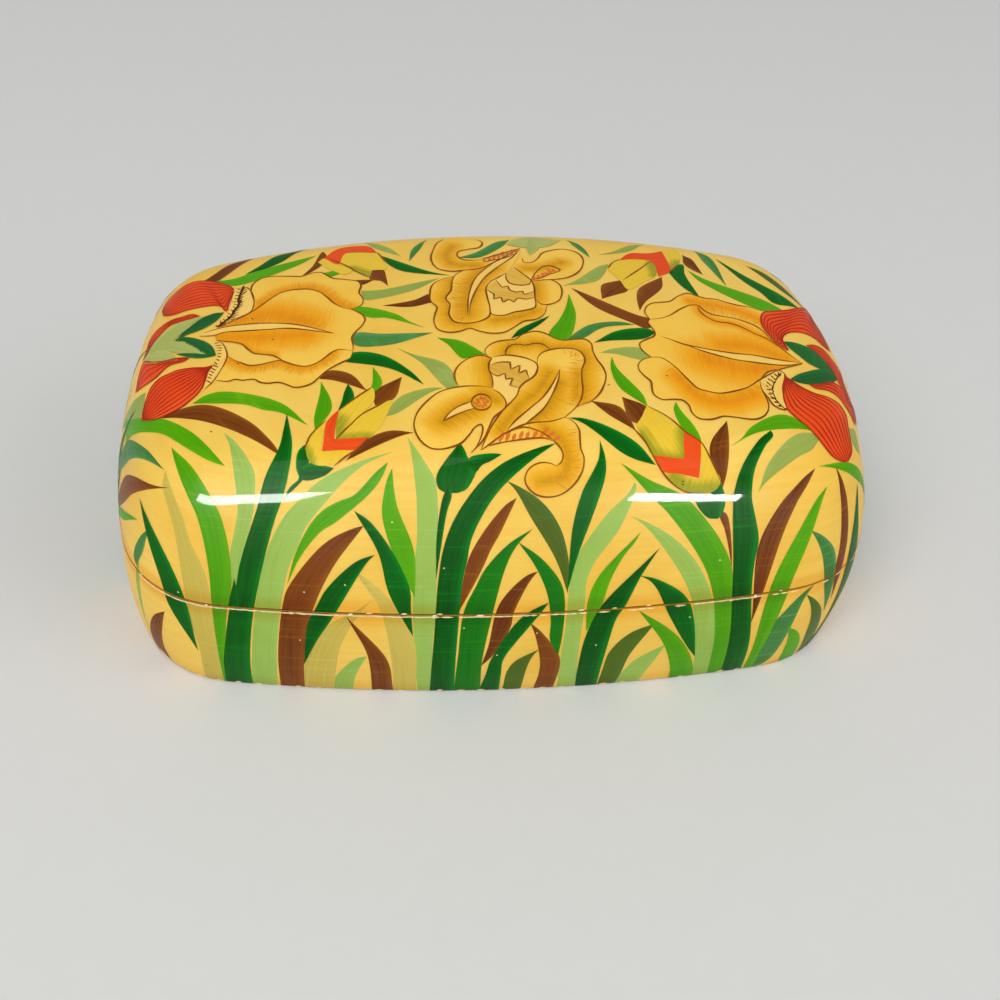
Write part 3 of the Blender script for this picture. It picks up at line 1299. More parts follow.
# ---------------------------------------------------------------------------------------------
# Iris petals: warm yellow, shaded to orange with fine hair strokes beside each fold.
# ---------------------------------------------------------------------------------------------
LEFT_IRIS = {
    "top": [(251, 312), (254, 302), (251, 291), (253, 284), (262, 278), (275, 276), (290, 276), (302, 276),
     (311, 273), (320, 272), (327, 275), (333, 278), (343, 279), (352, 280), (358, 281), (361, 285),
     (359, 292), (363, 299), (361, 305), (350, 309)],
    "top_fold": [(350, 309), (342, 307), (334, 303), (327, 297), (320, 292), (310, 289), (300, 289),
     (290, 290), (280, 293), (270, 299), (260, 306), (251, 312), (242, 317), (228, 323)],
    "end": [(350, 309), (356, 311), (362, 314), (365, 319), (362, 325), (356, 331), (352, 337), (353, 344),
     (353, 350)],
    "low_fold": [(353, 350), (348, 350), (340, 349), (332, 352), (324, 358), (316, 363), (306, 366),
     (296, 365), (286, 362), (280, 360), (274, 361), (266, 363), (256, 365), (248, 365), (240, 362),
     (234, 360), (228, 356)],
    "inner_fold": [(216, 340), (224, 341), (234, 342), (242, 344), (248, 349), (254, 353), (262, 354),
     (272, 355), (279, 358), (284, 361)],
    "low": [(353, 350), (352, 354), (350, 358), (344, 361), (334, 366), (326, 371), (319, 377), (312, 383),
     (304, 386), (294, 387), (286, 384), (278, 382), (268, 383), (260, 382), (254, 379), (242, 380),
     (235, 379), (228, 381), (216, 380)],
    "vein_top": [(204, 333), (216, 329), (230, 326), (246, 324), (262, 323), (278, 323), (294, 324),
     (310, 327), (322, 330), (334, 333)],
    "vein_low": [(200, 336), (214, 335), (224, 332), (238, 331), (254, 330), (270, 329), (286, 328),
     (302, 329), (318, 331), (334, 333)],
    "upper_beard": [(234, 288), (241, 288), (246, 287), (251, 291), (254, 301), (251, 311), (242, 316),
     (234, 319), (226, 324)],
    "lower_beard": [(216, 340), (222, 343), (226, 350), (227, 356), (224, 364), (218, 374), (212, 382),
     (204, 389)],
}
RIGHT_IRIS = {
    "top": [(650, 319), (645, 312), (647, 306), (652, 303), (662, 302), (670, 301), (678, 296), (688, 293),
     (698, 296), (706, 298), (716, 299), (726, 302), (738, 305), (750, 307), (762, 311)],
    "top_fold": [(650, 319), (660, 318), (670, 315), (680, 309), (690, 305), (698, 305), (704, 310),
     (712, 314), (722, 316), (734, 318), (744, 321), (754, 325), (762, 330), (770, 338), (778, 345),
     (788, 353), (802, 363)],
    "second_fold": [(698, 306), (700, 311), (706, 316), (716, 321), (730, 323), (742, 327), (754, 333),
     (766, 338), (778, 346)],
    "end": [(650, 319), (648, 322), (651, 326), (655, 332), (654, 336), (647, 339), (640, 343), (641, 348),
     (646, 353), (652, 357)],
    "low_fold": [(652, 357), (660, 357), (668, 361), (676, 367), (683, 374), (690, 381), (698, 388),
     (708, 391), (720, 393), (734, 391), (748, 387), (759, 380), (766, 376), (778, 370), (788, 367),
     (802, 364)],
    "low": [(652, 357), (644, 359), (639, 363), (639, 369), (644, 375), (651, 381), (652, 387), (654, 394),
     (662, 399), (674, 399), (683, 400), (689, 405), (692, 412), (699, 418), (712, 419), (724, 416),
     (736, 417), (752, 419), (760, 418), (766, 414), (769, 407), (767, 399), (762, 389), (760, 381)],
    "vein_top": [(661, 336), (670, 339), (684, 344), (698, 347), (714, 350), (734, 353), (754, 355),
     (770, 358), (788, 361), (803, 363)],
    "vein_low": [(682, 343), (698, 349), (714, 354), (734, 359), (754, 362), (770, 364), (788, 365),
     (803, 363)],
    "beard": [(760, 381), (764, 375), (770, 371), (778, 370), (785, 374), (784, 388), (784, 399),
     (787, 409), (782, 409), (774, 405), (768, 397), (762, 389), (760, 381)],
}
FRONT_IRIS = {
    "left_round": [(459, 386), (455, 379), (455, 371), (461, 363), (471, 357), (481, 355), (492, 358)],
    "left_round_side": [(492, 358), (489, 363), (489, 369), (492, 377), (493, 388)],
    "lobe": [(493, 388), (481, 386), (465, 386), (451, 388), (439, 392), (427, 401), (417, 413), (414, 425),
     (417, 435), (423, 443), (431, 448), (441, 449), (451, 447), (461, 443), (469, 435), (475, 427),
     (481, 424), (483, 428), (481, 437), (475, 449), (471, 453)],
    "lobe_side": [(493, 389), (501, 394), (506, 402), (505, 408), (495, 416), (489, 427), (483, 440),
     (471, 453)],
    "ruffle": [(492, 358), (487, 355), (485, 351), (487, 347), (495, 342), (505, 340), (515, 339),
     (523, 334), (535, 331), (545, 333), (555, 338), (563, 340), (575, 339), (585, 339), (591, 343),
     (593, 351), (597, 359), (603, 367), (606, 375), (604, 385), (599, 394), (591, 401), (583, 404),
     (576, 407)],
    "ruffle_fold": [(506, 356), (506, 350), (511, 345), (519, 344), (525, 345), (535, 343), (543, 344),
     (550, 349)],
    "arch": [(537, 364), (538, 357), (543, 352), (553, 349), (563, 348), (575, 349), (582, 353), (585, 360),
     (582, 369), (582, 379), (583, 389), (581, 399), (576, 407), (565, 417)],
    "arch_foot": [(565, 417), (551, 421), (537, 422), (525, 424), (515, 428), (507, 432), (499, 437),
     (487, 446), (481, 450)],
    "arch_left": [(537, 364), (537, 371), (533, 377), (525, 382), (520, 387), (517, 395), (511, 402),
     (503, 410), (495, 421), (489, 431), (481, 450)],
    "vein_left": [(560, 369), (553, 383), (543, 397), (529, 409), (515, 421), (507, 431)],
    "vein_right": [(560, 369), (558, 381), (552, 395), (543, 409), (529, 421), (521, 427)],
    "lobe_vein_top": [(443, 421), (449, 413), (459, 406), (472, 401)],
    "lobe_vein_low": [(443, 421), (453, 416), (465, 411), (474, 408)],
    "cup": [(492, 388), (492, 377), (489, 369), (489, 363), (493, 357), (505, 355), (517, 356), (529, 359),
     (537, 364), (537, 371), (533, 377), (525, 382), (520, 387), (517, 395), (511, 402), (506, 402),
     (501, 394), (493, 389)],
    "zigzag_top": [(489, 365), (499, 362), (510, 362), (510, 362), (511, 369), (511, 369), (520, 365),
     (520, 365), (519, 373), (519, 373), (526, 370), (526, 370), (530, 380)],
    "zigzag_low": [(490, 371), (493, 374), (498, 376), (498, 376), (505, 373), (505, 373), (506, 379),
     (506, 379), (513, 378), (513, 378), (510, 385), (510, 385), (520, 388)],
    "braid_top": [(505, 434), (515, 429), (525, 427), (537, 430), (545, 434), (553, 440)],
    "braid_low": [(487, 446), (499, 443), (517, 440), (533, 438), (545, 438), (553, 441)],
    "tail_outer": [(565, 417), (573, 421), (579, 429), (580, 439), (581, 449), (584, 457), (583, 469),
     (577, 481), (567, 491), (557, 496), (545, 497), (535, 494), (527, 486), (525, 479), (529, 469),
     (539, 463), (549, 463), (557, 466)],
    "tail_inner": [(557, 466), (557, 466), (562, 461), (563, 453), (559, 446), (553, 440)],
}
BACK_IRIS = {
    "curl": [(444, 239), (437, 243), (433, 250), (431, 258), (434, 265), (440, 269), (452, 271), (464, 270),
     (476, 269)],
    "curl_inner": [(474, 239), (482, 242), (479, 247), (468, 249), (459, 251), (457, 255), (462, 259),
     (472, 260), (482, 259)],
    "side": [(454, 276), (442, 279), (433, 284), (430, 292), (431, 301), (437, 307), (435, 314), (434, 322),
     (438, 329), (448, 332), (460, 331), (470, 328), (480, 331), (492, 333), (504, 332), (514, 327),
     (524, 321), (536, 319), (544, 314), (547, 305)],
    "tall": [(464, 270), (455, 275), (452, 282), (451, 290), (446, 298), (450, 304), (449, 314), (454, 321),
     (466, 323), (480, 321), (489, 316), (490, 308), (487, 296), (486, 288), (490, 282), (498, 277),
     (506, 273)],
    "tall_top": [(464, 270), (480, 268), (492, 263), (506, 256), (520, 248)],
    "vein_left": [(468, 314), (468, 302), (470, 290), (474, 280), (482, 271), (492, 264)],
    "vein_right": [(469, 314), (471, 302), (476, 290), (484, 278), (496, 268), (512, 257), (520, 249)],
    "cup": [(486, 288), (488, 282), (497, 279), (506, 273), (514, 267), (522, 273), (531, 280), (534, 286),
     (535, 297), (535, 307), (526, 310), (514, 312), (504, 315), (492, 314), (490, 308), (487, 296),
     (486, 288)],
    "bowl": [(506, 273), (506, 278), (510, 283), (520, 285), (529, 284), (531, 280)],
    "zigzag_low": [(486, 289), (494, 294), (494, 294), (494, 299), (494, 299), (501, 297), (501, 297),
     (503, 302), (503, 302), (509, 299), (509, 299), (514, 302), (514, 302), (518, 298), (526, 299),
     (535, 297)],
    "zigzag_top": [(496, 280), (502, 287), (502, 287), (508, 286), (508, 286), (510, 290), (516, 292),
     (516, 292), (523, 291), (523, 291), (524, 294), (535, 291)],
    "small": [(531, 281), (540, 280), (552, 280), (560, 285), (562, 292), (559, 300), (550, 304),
     (542, 304), (536, 300)],
    "standard": [(522, 258), (524, 262), (532, 262), (538, 258), (542, 253), (552, 250), (564, 249),
     (576, 252), (582, 257), (583, 264), (578, 272), (568, 277), (556, 279), (540, 280), (531, 281)],
    "feather": [(531, 280), (536, 272), (544, 266), (552, 266), (560, 270), (550, 274), (540, 278),
     (531, 280)],
    "braid_top": [(480, 259), (492, 256), (506, 252), (520, 248)],
    "braid_low": [(484, 262), (492, 260), (504, 258), (516, 253)],
}
left, right, front, back = LEFT_IRIS, RIGHT_IRIS, FRONT_IRIS, BACK_IRIS
petals = [
    patch(
        left["top"] + left["top_fold"][1:-1], [(255, 296), (300, 283), (358, 296)],
        (left["top_fold"][:-3], 3.2),
    ),
    patch(
        left["low"] + [(212, 384), (218, 372), (226, 362)] + left["low_fold"][:0:-1],
        [(228, 368), (280, 372), (345, 356)], (left["low_fold"][3:], 2.6),
    ),
    patch(
        left["vein_low"][:2] + left["inner_fold"] + left["low_fold"][9::-1] + left["end"][-2::-1]
        + left["top_fold"][1:],
        [(215, 332), (280, 328), (350, 330)], ([(222, 327), (245, 318), (275, 314), (308, 321)], 6.5),
        ([(212, 336), (240, 337), (275, 336), (306, 334)], 6.0), (left["inner_fold"][1:8], 2.2),
    ),
    patch(
        right["top"] + right["top_fold"][13::-1], [(655, 310), (700, 304), (760, 320)],
        ([(692, 301), (720, 306), (745, 313), (764, 322)], 3.2),
    ),
    patch(
        right["low"] + right["low_fold"][-5::-1], [(650, 366), (700, 404), (758, 400)],
        ([(678, 376), (700, 396), (725, 402), (757, 394)], 4.2),
    ),
    patch(
        right["end"] + right["low_fold"][1:] + right["top_fold"][:0:-1],
        [(655, 345), (720, 350), (795, 362)], ([(706, 358), (735, 367), (765, 369), (790, 366)], 7.5),
        ([(722, 345), (752, 346), (785, 358)], 5.5), (right["second_fold"], 2.2),
    ),
    patch(
        front["ruffle"] + front["arch"][-2::-1] + front["cup"][8:3:-1],
        [(490, 350), (550, 345), (595, 385)], (front["ruffle_fold"], 3.4), (front["arch"][3:-2], 4.2),
    ),
    patch(
        front["left_round"] + front["left_round_side"][1:] + [(475, 386)], [(470, 372), (485, 372)],
        (front["left_round_side"], 4.0),
    ),
    patch(
        front["lobe"] + front["lobe_side"][-2::-1], [(470, 396), (440, 418), (425, 440)],
        (front["lobe_vein_top"], 3.4), (front["lobe_vein_low"], 4.4), ([(482, 392), (497, 400)], 3.2),
    ),
    patch(
        front["braid_low"][:0:-1] + front["arch_foot"][4:0:-1] + front["tail_outer"]
        + front["tail_inner"][2:],
        [(540, 428), (568, 435), (573, 465), (545, 482)],
        ([(545, 428), (562, 440), (568, 460), (563, 476), (540, 482)], 3.4),
    ),
    patch(
        front["arch"] + front["arch_foot"][1:] + front["arch_left"][-2::-1],
        [(560, 352), (550, 400), (490, 445)], (front["vein_right"][1:], 4.4),
        ([(549, 372), (540, 388), (520, 405), (500, 430)], 3.2), ([(578, 372), (576, 396)], 2.4),
    ),
    patch(
        back["side"] + back["small"][:4:-1] + back["tall"][11:0:-1], [(440, 290), (445, 325), (530, 316)],
        (back["tall"][1:9], 3.8), ([(495, 320), (520, 316), (536, 310)], 3.2),
    ),
    patch(
        [(474, 239), (460, 237)] + back["curl"] + [(490, 265), (505, 257)] + back["curl_inner"][::-1],
        [(455, 242), (445, 258), (480, 265)], ([(452, 246), (446, 256), (454, 264), (478, 265)], 3.2),
    ),
    patch(
        back["tall"] + [(520, 249)] + back["tall_top"][3::-1], [(480, 268), (465, 300), (470, 320)],
        (back["vein_left"], 4.0), (back["vein_right"][1:5], 3.0),
    ),
    patch(
        back["standard"] + [(514, 267), (520, 258)], [(530, 272), (575, 262)],
        ([(526, 268), (540, 268), (562, 262)], 3.0),
    ),
    patch(back["small"], [(540, 285), (556, 295)], ([(536, 284), (537, 298)], 3.0)),
]
def petal_finish(name, pale, fuller, deep, deepest):
    """Petal colour that deepens beside its folds, broken by fine strokes across the petal."""
    petal = Paint(name)
    hair_marks = petal.noise(petal.stretched(petal.uv("brush"), (2.6, 0.14, 1)), 1.0, 2.0, 0.6)
    depth = petal.attribute("shade") + (hair_marks - 0.5) * 0.45
    wash = petal.noise(petal.place, 0.12 * PERIOD, 3.0)
    colour = petal.mix(petal.ramp(wash, 0.35, 0.7), pale, fuller)
    colour = petal.mix(petal.ramp(depth, 0.05, 0.75), colour, deep)
    colour = petal.mix(petal.ramp(depth, 0.62, 1.1), colour, deepest)
    relief = lacquer_height(petal) + hair_marks * 0.4
    return petal.finish(colour, 0.34 + 0.12 * hair_marks, relief, 0.05 * MM, LACQUER)


SIDE_PETALS = 6
side_paint = petal_finish(
    "paint_petal_orange", srgb(250, 202, 80), srgb(248, 196, 70), srgb(246, 166, 24), srgb(236, 144, 8)
)
lay_film("side_petals", petals[:SIDE_PETALS], 8, side_paint, stacked=True)
middle_paint = petal_finish(
    "paint_petal_gold", srgb(252, 205, 86), srgb(248, 196, 68), srgb(237, 170, 28), srgb(200, 140, 14)
)
lay_film("middle_petals", petals[SIDE_PETALS:], 8, middle_paint, stacked=True)

PALE_PARTS = [
    blade(left["vein_top"], left["vein_low"]),
    blade(right["vein_top"][::-1], [(803, 363)] + right["vein_low"][::-1] + [(661, 336)]),
    blade(front["vein_left"], front["vein_right"]),
    blade(front["lobe_vein_top"], front["lobe_vein_low"]),
    blade(back["vein_left"] + [(506, 256), (520, 249)], back["vein_right"]),
    patch(left["upper_beard"] + [(229, 312), (232, 300)], [(242, 292), (240, 312)]),
    patch(
        left["lower_beard"] + [(206, 378), (211, 366), (218, 358), (217, 350)],
        [(222, 346), (221, 360), (208, 384)],
    ),
    patch(right["beard"], [(775, 374), (774, 400)]),
    patch(front["cup"], [(497, 362), (512, 385)]),
    patch(back["cup"], [(496, 284), (530, 300)]),
]
pale_paint = brushed(
    "paint_pale_cream", srgb(251, 209, 108), srgb(245, 198, 86), srgb(254, 218, 130), 0.5, 0.2
)
lay_film("pale_parts", PALE_PARTS, 9, pale_paint, stacked=True)

CUP_SHADOWS = [
    patch(front["zigzag_top"] + [(525, 384)] + front["zigzag_low"][::-1], [(495, 368), (520, 380)]),
    patch(back["zigzag_top"] + back["zigzag_low"][::-1], [(490, 290), (530, 294)]),
    patch(back["bowl"] + [(524, 275), (514, 267)], [(510, 274), (526, 281)]),
]
gold_paint = brushed(
    "paint_gold_shadow", srgb(232, 184, 74), srgb(214, 160, 48), srgb(246, 204, 104), 0.6, 0.2
)
lay_film("cup_shadows", CUP_SHADOWS, 10, gold_paint, stacked=True)


# ---------------------------------------------------------------------------------------------
# Red falls of the side irises, with the bud chevrons in the same red.
# ---------------------------------------------------------------------------------------------
LEFT_FALL_UPPER = (
    [(163, 316), (163, 309), (168, 300), (176, 292), (188, 284), (198, 281), (210, 281), (220, 283),
     (230, 286), (235, 290)],
    [(163, 316), (171, 315), (180, 312), (190, 309), (206, 306), (214, 305), (221, 306), (226, 311),
     (229, 302), (235, 290)],
)
LEFT_FALL_LOWER = (
    [(215, 364), (206, 367), (192, 368), (178, 370), (168, 374), (160, 378), (152, 386), (147, 396),
     (144, 406), (141, 421)],
    [(215, 364), (208, 372), (205, 380), (202, 387), (197, 394), (188, 402), (178, 409), (168, 414),
     (156, 419), (141, 421)],
)
LEFT_FALL_SIDE = (
    [(200, 316), (192, 314), (182, 317), (172, 320), (162, 326), (155, 332), (150, 340), (146, 352),
     (142, 362)],
    [(200, 316), (188, 319), (178, 322), (170, 325), (162, 332), (156, 339), (151, 346), (147, 354),
     (142, 362)],
)
LEFT_FALL_BACK = (
    [(190, 357), (178, 358), (164, 361), (152, 362), (143, 363), (139, 374), (137, 384), (135, 393)],
    [(190, 357), (184, 361), (176, 363), (168, 366), (162, 371), (156, 377), (148, 383), (135, 393)],
)
RIGHT_FALL_UPPER = (
    [(776, 342), (768, 334), (763, 327), (761, 318), (764, 312), (774, 311), (788, 310), (798, 308),
     (808, 311), (818, 319), (826, 331), (831, 352)],
    [(776, 342), (788, 350), (783, 341), (783, 336), (790, 332), (800, 332), (810, 335), (818, 340),
     (824, 346), (831, 352)],
)
RIGHT_FALL_LOWER = (
    [(785, 375), (790, 379), (800, 386), (814, 393), (830, 398), (840, 405), (846, 415), (848, 425),
     (850, 437), (852, 452), (848, 462)],
    [(785, 375), (783, 389), (785, 401), (788, 409), (796, 417), (806, 425), (816, 435), (824, 445),
     (833, 456), (841, 461), (848, 462)],
)
RIGHT_FALL_SIDE = (
    [(806, 345), (814, 345), (824, 350), (832, 359), (839, 369), (846, 381), (852, 396), (858, 415),
     (861, 425)],
    [(806, 345), (816, 352), (826, 361), (832, 370), (838, 380), (844, 392), (850, 405), (856, 416),
     (861, 425)],
)
RIGHT_FALL_BACK = ([(809, 384), (820, 384), (834, 383), (842, 389), (848, 399), (855, 412), (858, 424)],
                   [(809, 384), (816, 388), (828, 390), (838, 396), (846, 406), (852, 416), (858, 424)])
FALLS = {
    "left_upper": (LEFT_FALL_UPPER, 8),
    "left_lower": (LEFT_FALL_LOWER, 9),
    "left_side": (LEFT_FALL_SIDE, 2),
    "left_back": (LEFT_FALL_BACK, 3),
    "right_upper": (RIGHT_FALL_UPPER, 7),
    "right_lower": (RIGHT_FALL_LOWER, 8),
    "right_side": (RIGHT_FALL_SIDE, 3),
    "right_back": (RIGHT_FALL_BACK, 2),
}
CHEVRONS = {
    "front_left": [(339, 409), (339, 409), (334, 439), (334, 439), (368, 437), (368, 437), (357, 449),
     (340, 450), (322, 451), (322, 451), (324, 437), (327, 421)],
    "front_right": [(653, 455), (653, 455), (684, 459), (684, 459), (685, 432), (692, 436), (701, 441),
     (701, 441), (699, 478), (699, 478), (680, 474), (662, 471)],
    "back_left": [(324, 258), (335, 250), (345, 247), (368, 246), (377, 252), (377, 252), (346, 253),
     (338, 264)],
    "back_right": [(619, 260), (630, 253), (648, 253), (662, 251), (662, 251), (670, 271), (659, 276),
     (659, 276), (651, 261), (635, 259)],
}
red_shapes = [blade(*edges) for edges, _ in FALLS.values()]
red_shapes += [patch(outline, outline[:2] + outline[3:5]) for outline in CHEVRONS.values()]
red_paint = brushed("paint_red_orange", srgb(240, 82, 28), srgb(224, 62, 16), srgb(250, 112, 56), 0.5, 0.35)
lay_film("red", red_shapes, 9, red_paint, stacked=True)


# ---------------------------------------------------------------------------------------------
# Buds on the lid: yellow petals washed with green towards the red chevron.
# ---------------------------------------------------------------------------------------------
BUD_PETALS = [
    patch(
        [(336, 440), (339, 411), (347, 404), (358, 396), (372, 387), (374, 400), (360, 415), (346, 430)],
        [(370, 392), (337, 436)], ([(336, 440), (340, 420)], 2.4),
    ),
    patch(
        [(336, 440), (349, 425), (362, 413), (377, 405), (392, 400), (388, 412), (380, 426), (369, 437)],
        [(388, 405), (340, 438)], ([(340, 439), (366, 436)], 1.8),
    ),
    patch(
        [(305, 448), (310, 436), (317, 427), (327, 420), (323, 436), (322, 451), (340, 450), (354, 449),
         (345, 457), (330, 465), (316, 465), (309, 461)],
        [(325, 425), (312, 458)], ([(306, 450), (311, 462)], 1.6),
    ),
    patch(
        [(636, 425), (642, 416), (648, 406), (657, 410), (667, 417), (678, 426), (685, 432), (684, 446),
         (684, 459), (668, 457), (653, 455), (645, 441)],
        [(645, 412), (680, 455)], ([(683, 433), (684, 459), (656, 455), (641, 434)], 2.3),
    ),
    patch(
        [(662, 471), (680, 474), (699, 478), (701, 442), (709, 457), (716, 469), (721, 482), (716, 490),
         (705, 494), (686, 492), (672, 482)],
        [(708, 460), (700, 490)], ([(716, 489), (690, 490), (674, 478)], 2.6),
    ),
    patch(
        [(338, 263), (346, 253), (365, 253), (377, 253), (384, 262), (386, 269), (372, 270), (370, 276),
         (355, 271)],
        [(345, 258), (380, 268)], ([(352, 268), (370, 274)], 2.0),
    ),
    patch(
        [(608, 269), (612, 262), (620, 260), (635, 259), (651, 261), (656, 275), (645, 281), (628, 289),
         (620, 280)],
        [(650, 262), (612, 280)], ([(652, 262), (655, 275)], 2.0),
    ),
    patch(
        [(662, 251), (674, 248), (680, 255), (679, 263), (670, 271)], [(670, 252), (674, 268)],
        ([(678, 262), (670, 270)], 2.0),
    ),
    patch(
        [(318, 262), (324, 258), (338, 264), (352, 270), (345, 274), (328, 268)], [(322, 261), (346, 272)]
    ),
]
bud = Paint("paint_bud_yellow")
bud_marks = bud.noise(bud.stretched(bud.uv("brush"), (0.12, 2.0, 1)), 1.0, 2.0, 0.6)
bud_depth = bud.attribute("shade") + (bud_marks - 0.5) * 0.7
bud_colour = bud.mix(bud.ramp(bud_marks, 0.4, 0.7) * 0.5, srgb(240, 200, 58), srgb(232, 186, 44))
bud_colour = bud.mix(bud.ramp(bud_depth, 0.10, 0.9), bud_colour, srgb(160, 158, 30))
bud_paint = bud.finish(
    bud_colour, 0.34 + 0.12 * bud_marks, lacquer_height(bud) + bud_marks * 0.4, 0.05 * MM, LACQUER
)
lay_film("buds", BUD_PETALS, 8, bud_paint, stacked=True)


# ---------------------------------------------------------------------------------------------
# Cups behind the side irises: pale leaves and dark leaves side by side.
# ---------------------------------------------------------------------------------------------
PALE_CUP_LEAVES = [
    blade(
        [(143, 362), (145, 354), (151, 347), (158, 338), (166, 331), (176, 324), (188, 320), (207, 315)],
        [(143, 362), (155, 353), (164, 347), (173, 341), (179, 335), (188, 328), (197, 321), (207, 315)],
    ),
    blade(
        [(158, 350), (164, 345), (172, 341), (182, 341), (190, 344), (198, 349), (208, 355)],
        [(158, 350), (168, 351), (178, 353), (188, 354), (198, 355), (208, 355)],
    ),
    blade(
        [(143, 363), (147, 356), (154, 352), (164, 350), (172, 353), (178, 360)],
        [(143, 363), (152, 363), (162, 363), (170, 361), (178, 360)],
    ),
    blade(
        [(506, 244), (514, 239), (530, 237), (545, 238), (560, 240)],
        [(506, 244), (522, 247), (538, 247), (548, 246), (560, 240)],
    ),
    blade([(530, 238), (526, 246), (530, 255)], [(530, 238), (539, 247), (530, 255)]),
]
DARK_CUP_LEAVES = [
    blade(
        [(224, 312), (214, 313), (204, 317), (196, 322), (188, 328), (181, 334), (176, 341)],
        [(224, 312), (218, 319), (208, 326), (197, 331), (186, 335), (176, 341)],
    ),
    blade(
        [(174, 341), (180, 337), (190, 337), (199, 339), (207, 342), (213, 347), (216, 355)],
        [(174, 341), (182, 342), (190, 345), (198, 350), (208, 355), (216, 355)],
    ),
    blade(
        [(216, 355), (205, 354), (194, 353), (182, 353), (176, 354)],
        [(216, 355), (208, 357), (198, 358), (188, 357), (176, 354)],
    ),
    blade(
        [(783, 341), (794, 342), (806, 346), (816, 352), (826, 362), (834, 371), (838, 379)],
        [(783, 341), (790, 348), (799, 355), (809, 363), (819, 368), (829, 373), (838, 379)],
    ),
    blade(
        [(790, 379), (798, 374), (808, 371), (819, 369), (830, 371), (838, 379)],
        [(790, 379), (798, 382), (808, 384), (820, 384), (832, 383), (838, 379)],
    ),
]
pale_cup_paint = brushed(
    "paint_pale_cup", srgb(184, 188, 104), srgb(158, 172, 84), srgb(204, 204, 128), 0.6, 0.3
)
lay_film("pale_cups", PALE_CUP_LEAVES, 10, pale_cup_paint, stacked=True)
dark_cup_paint = brushed("paint_dark_cup", srgb(34, 104, 44), srgb(22, 84, 36), srgb(54, 128, 62), 0.6, 0.4)
lay_film("dark_cups", DARK_CUP_LEAVES, 10, dark_cup_paint, stacked=True)


# ---------------------------------------------------------------------------------------------
# Ink lines: brown outlines of the petals, veins and zigzags, and dark red stripes on the falls.
# ---------------------------------------------------------------------------------------------
INK_HALF_WIDTH = 0.14


def ink(points, half_width=INK_HALF_WIDTH, spots=seen):
    """A thin line that swells from pointed ends, as a fine brush leaves it."""
    line = smooth_line([spots(*spot) for spot in points], 0.45)
    return ribbon(line, half_width)


def ribbon(line, half_width):
    """Closed outline round a line on the chart, pointed at both ends."""
    heading = np.gradient(line, axis=0)
    heading /= np.maximum(np.linalg.norm(heading, axis=1), 1e-9)[:, None]
    side = np.stack((-heading[:, 1], heading[:, 0]), 1)
    share = np.linspace(0, 1, len(line))
    wave = 1 + 0.22 * np.sin(len(line) * 1.7 + share * len(line) * 0.35)
    width = half_width * np.minimum(1, 0.25 + 5 * np.minimum(share, 1 - share)) * wave
    offset = side * width[:, None]
    return {
        "outline": np.concatenate((line + offset, (line - offset)[::-1])),
        "spine": line,
        "half_width": width,
    }


def stripes(first, second, count, half_width):
    """Even ink lines between the two edges of a stroke, bending with it."""
    edges = [even(smooth_line([seen(*spot) for spot in side]), 60) for side in (first, second)]
    shares = (np.arange(count) + 1) / (count + 1)
    return [ribbon((edges[0] * (1 - share) + edges[1] * share)[2:-2], half_width) for share in shares]


brown_lines = [ink(left[key]) for key in left if key not in ("upper_beard", "lower_beard")]
brown_lines += [ink(left[key], 0.11) for key in ("upper_beard", "lower_beard")]
brown_lines += [ink(right[key]) for key in right]
brown_lines += [ink(front[key], 0.13) for key in front if key != "cup"]
brown_lines += [ink(back[key], 0.13) for key in back if key != "cup"]
brown_lines += [ink(front["cup"][4:13], 0.14), ink(back["cup"][4:15], 0.14)]
ring = [(481.5 + 10 * math.cos(a), 402 + 8 * math.sin(a)) for a in np.linspace(0, 2 * math.pi, 17)]
brown_lines.append(ink(ring, 0.13))
for outline in (
    [(628, 423), (645, 441), (653, 455), (662, 471), (672, 483), (686, 492), (705, 494)],
    [(648, 406), (667, 416), (685, 431), (701, 442), (710, 457), (721, 483)],
    [(390, 399), (377, 406), (362, 414), (349, 426), (335, 440)],
    [(369, 437), (357, 449), (345, 457), (334, 466)],
    [(339, 410), (358, 396), (372, 387)],
    [(305, 448), (310, 436), (326, 420)],
    [(328, 258), (345, 265), (358, 272), (371, 278)],
    [(377, 252), (386, 262)],
    [(608, 268), (613, 262), (620, 259)],
    [(651, 261), (638, 270), (623, 280)],
    [(669, 272), (679, 264)],
):
    brown_lines.append(ink(outline, 0.12))
ink_paint = brushed("paint_brown_ink", srgb(146, 82, 20), srgb(116, 58, 14), srgb(170, 104, 34), 0.7, 0.2)
lay_film("brown_lines", brown_lines, 11, ink_paint, stacked=True)

red_lines = []
for edges, count in FALLS.values():
    red_lines += stripes(*edges, count, 0.11)
for edges, _ in FALLS.values():
    red_lines += [ink(edge, 0.13) for edge in edges]
red_ink_paint = brushed("paint_red_ink", srgb(178, 42, 20), srgb(156, 32, 16), srgb(196, 58, 30), 0.6, 0.2)
lay_film("red_lines", red_lines, 11, red_ink_paint, stacked=True)


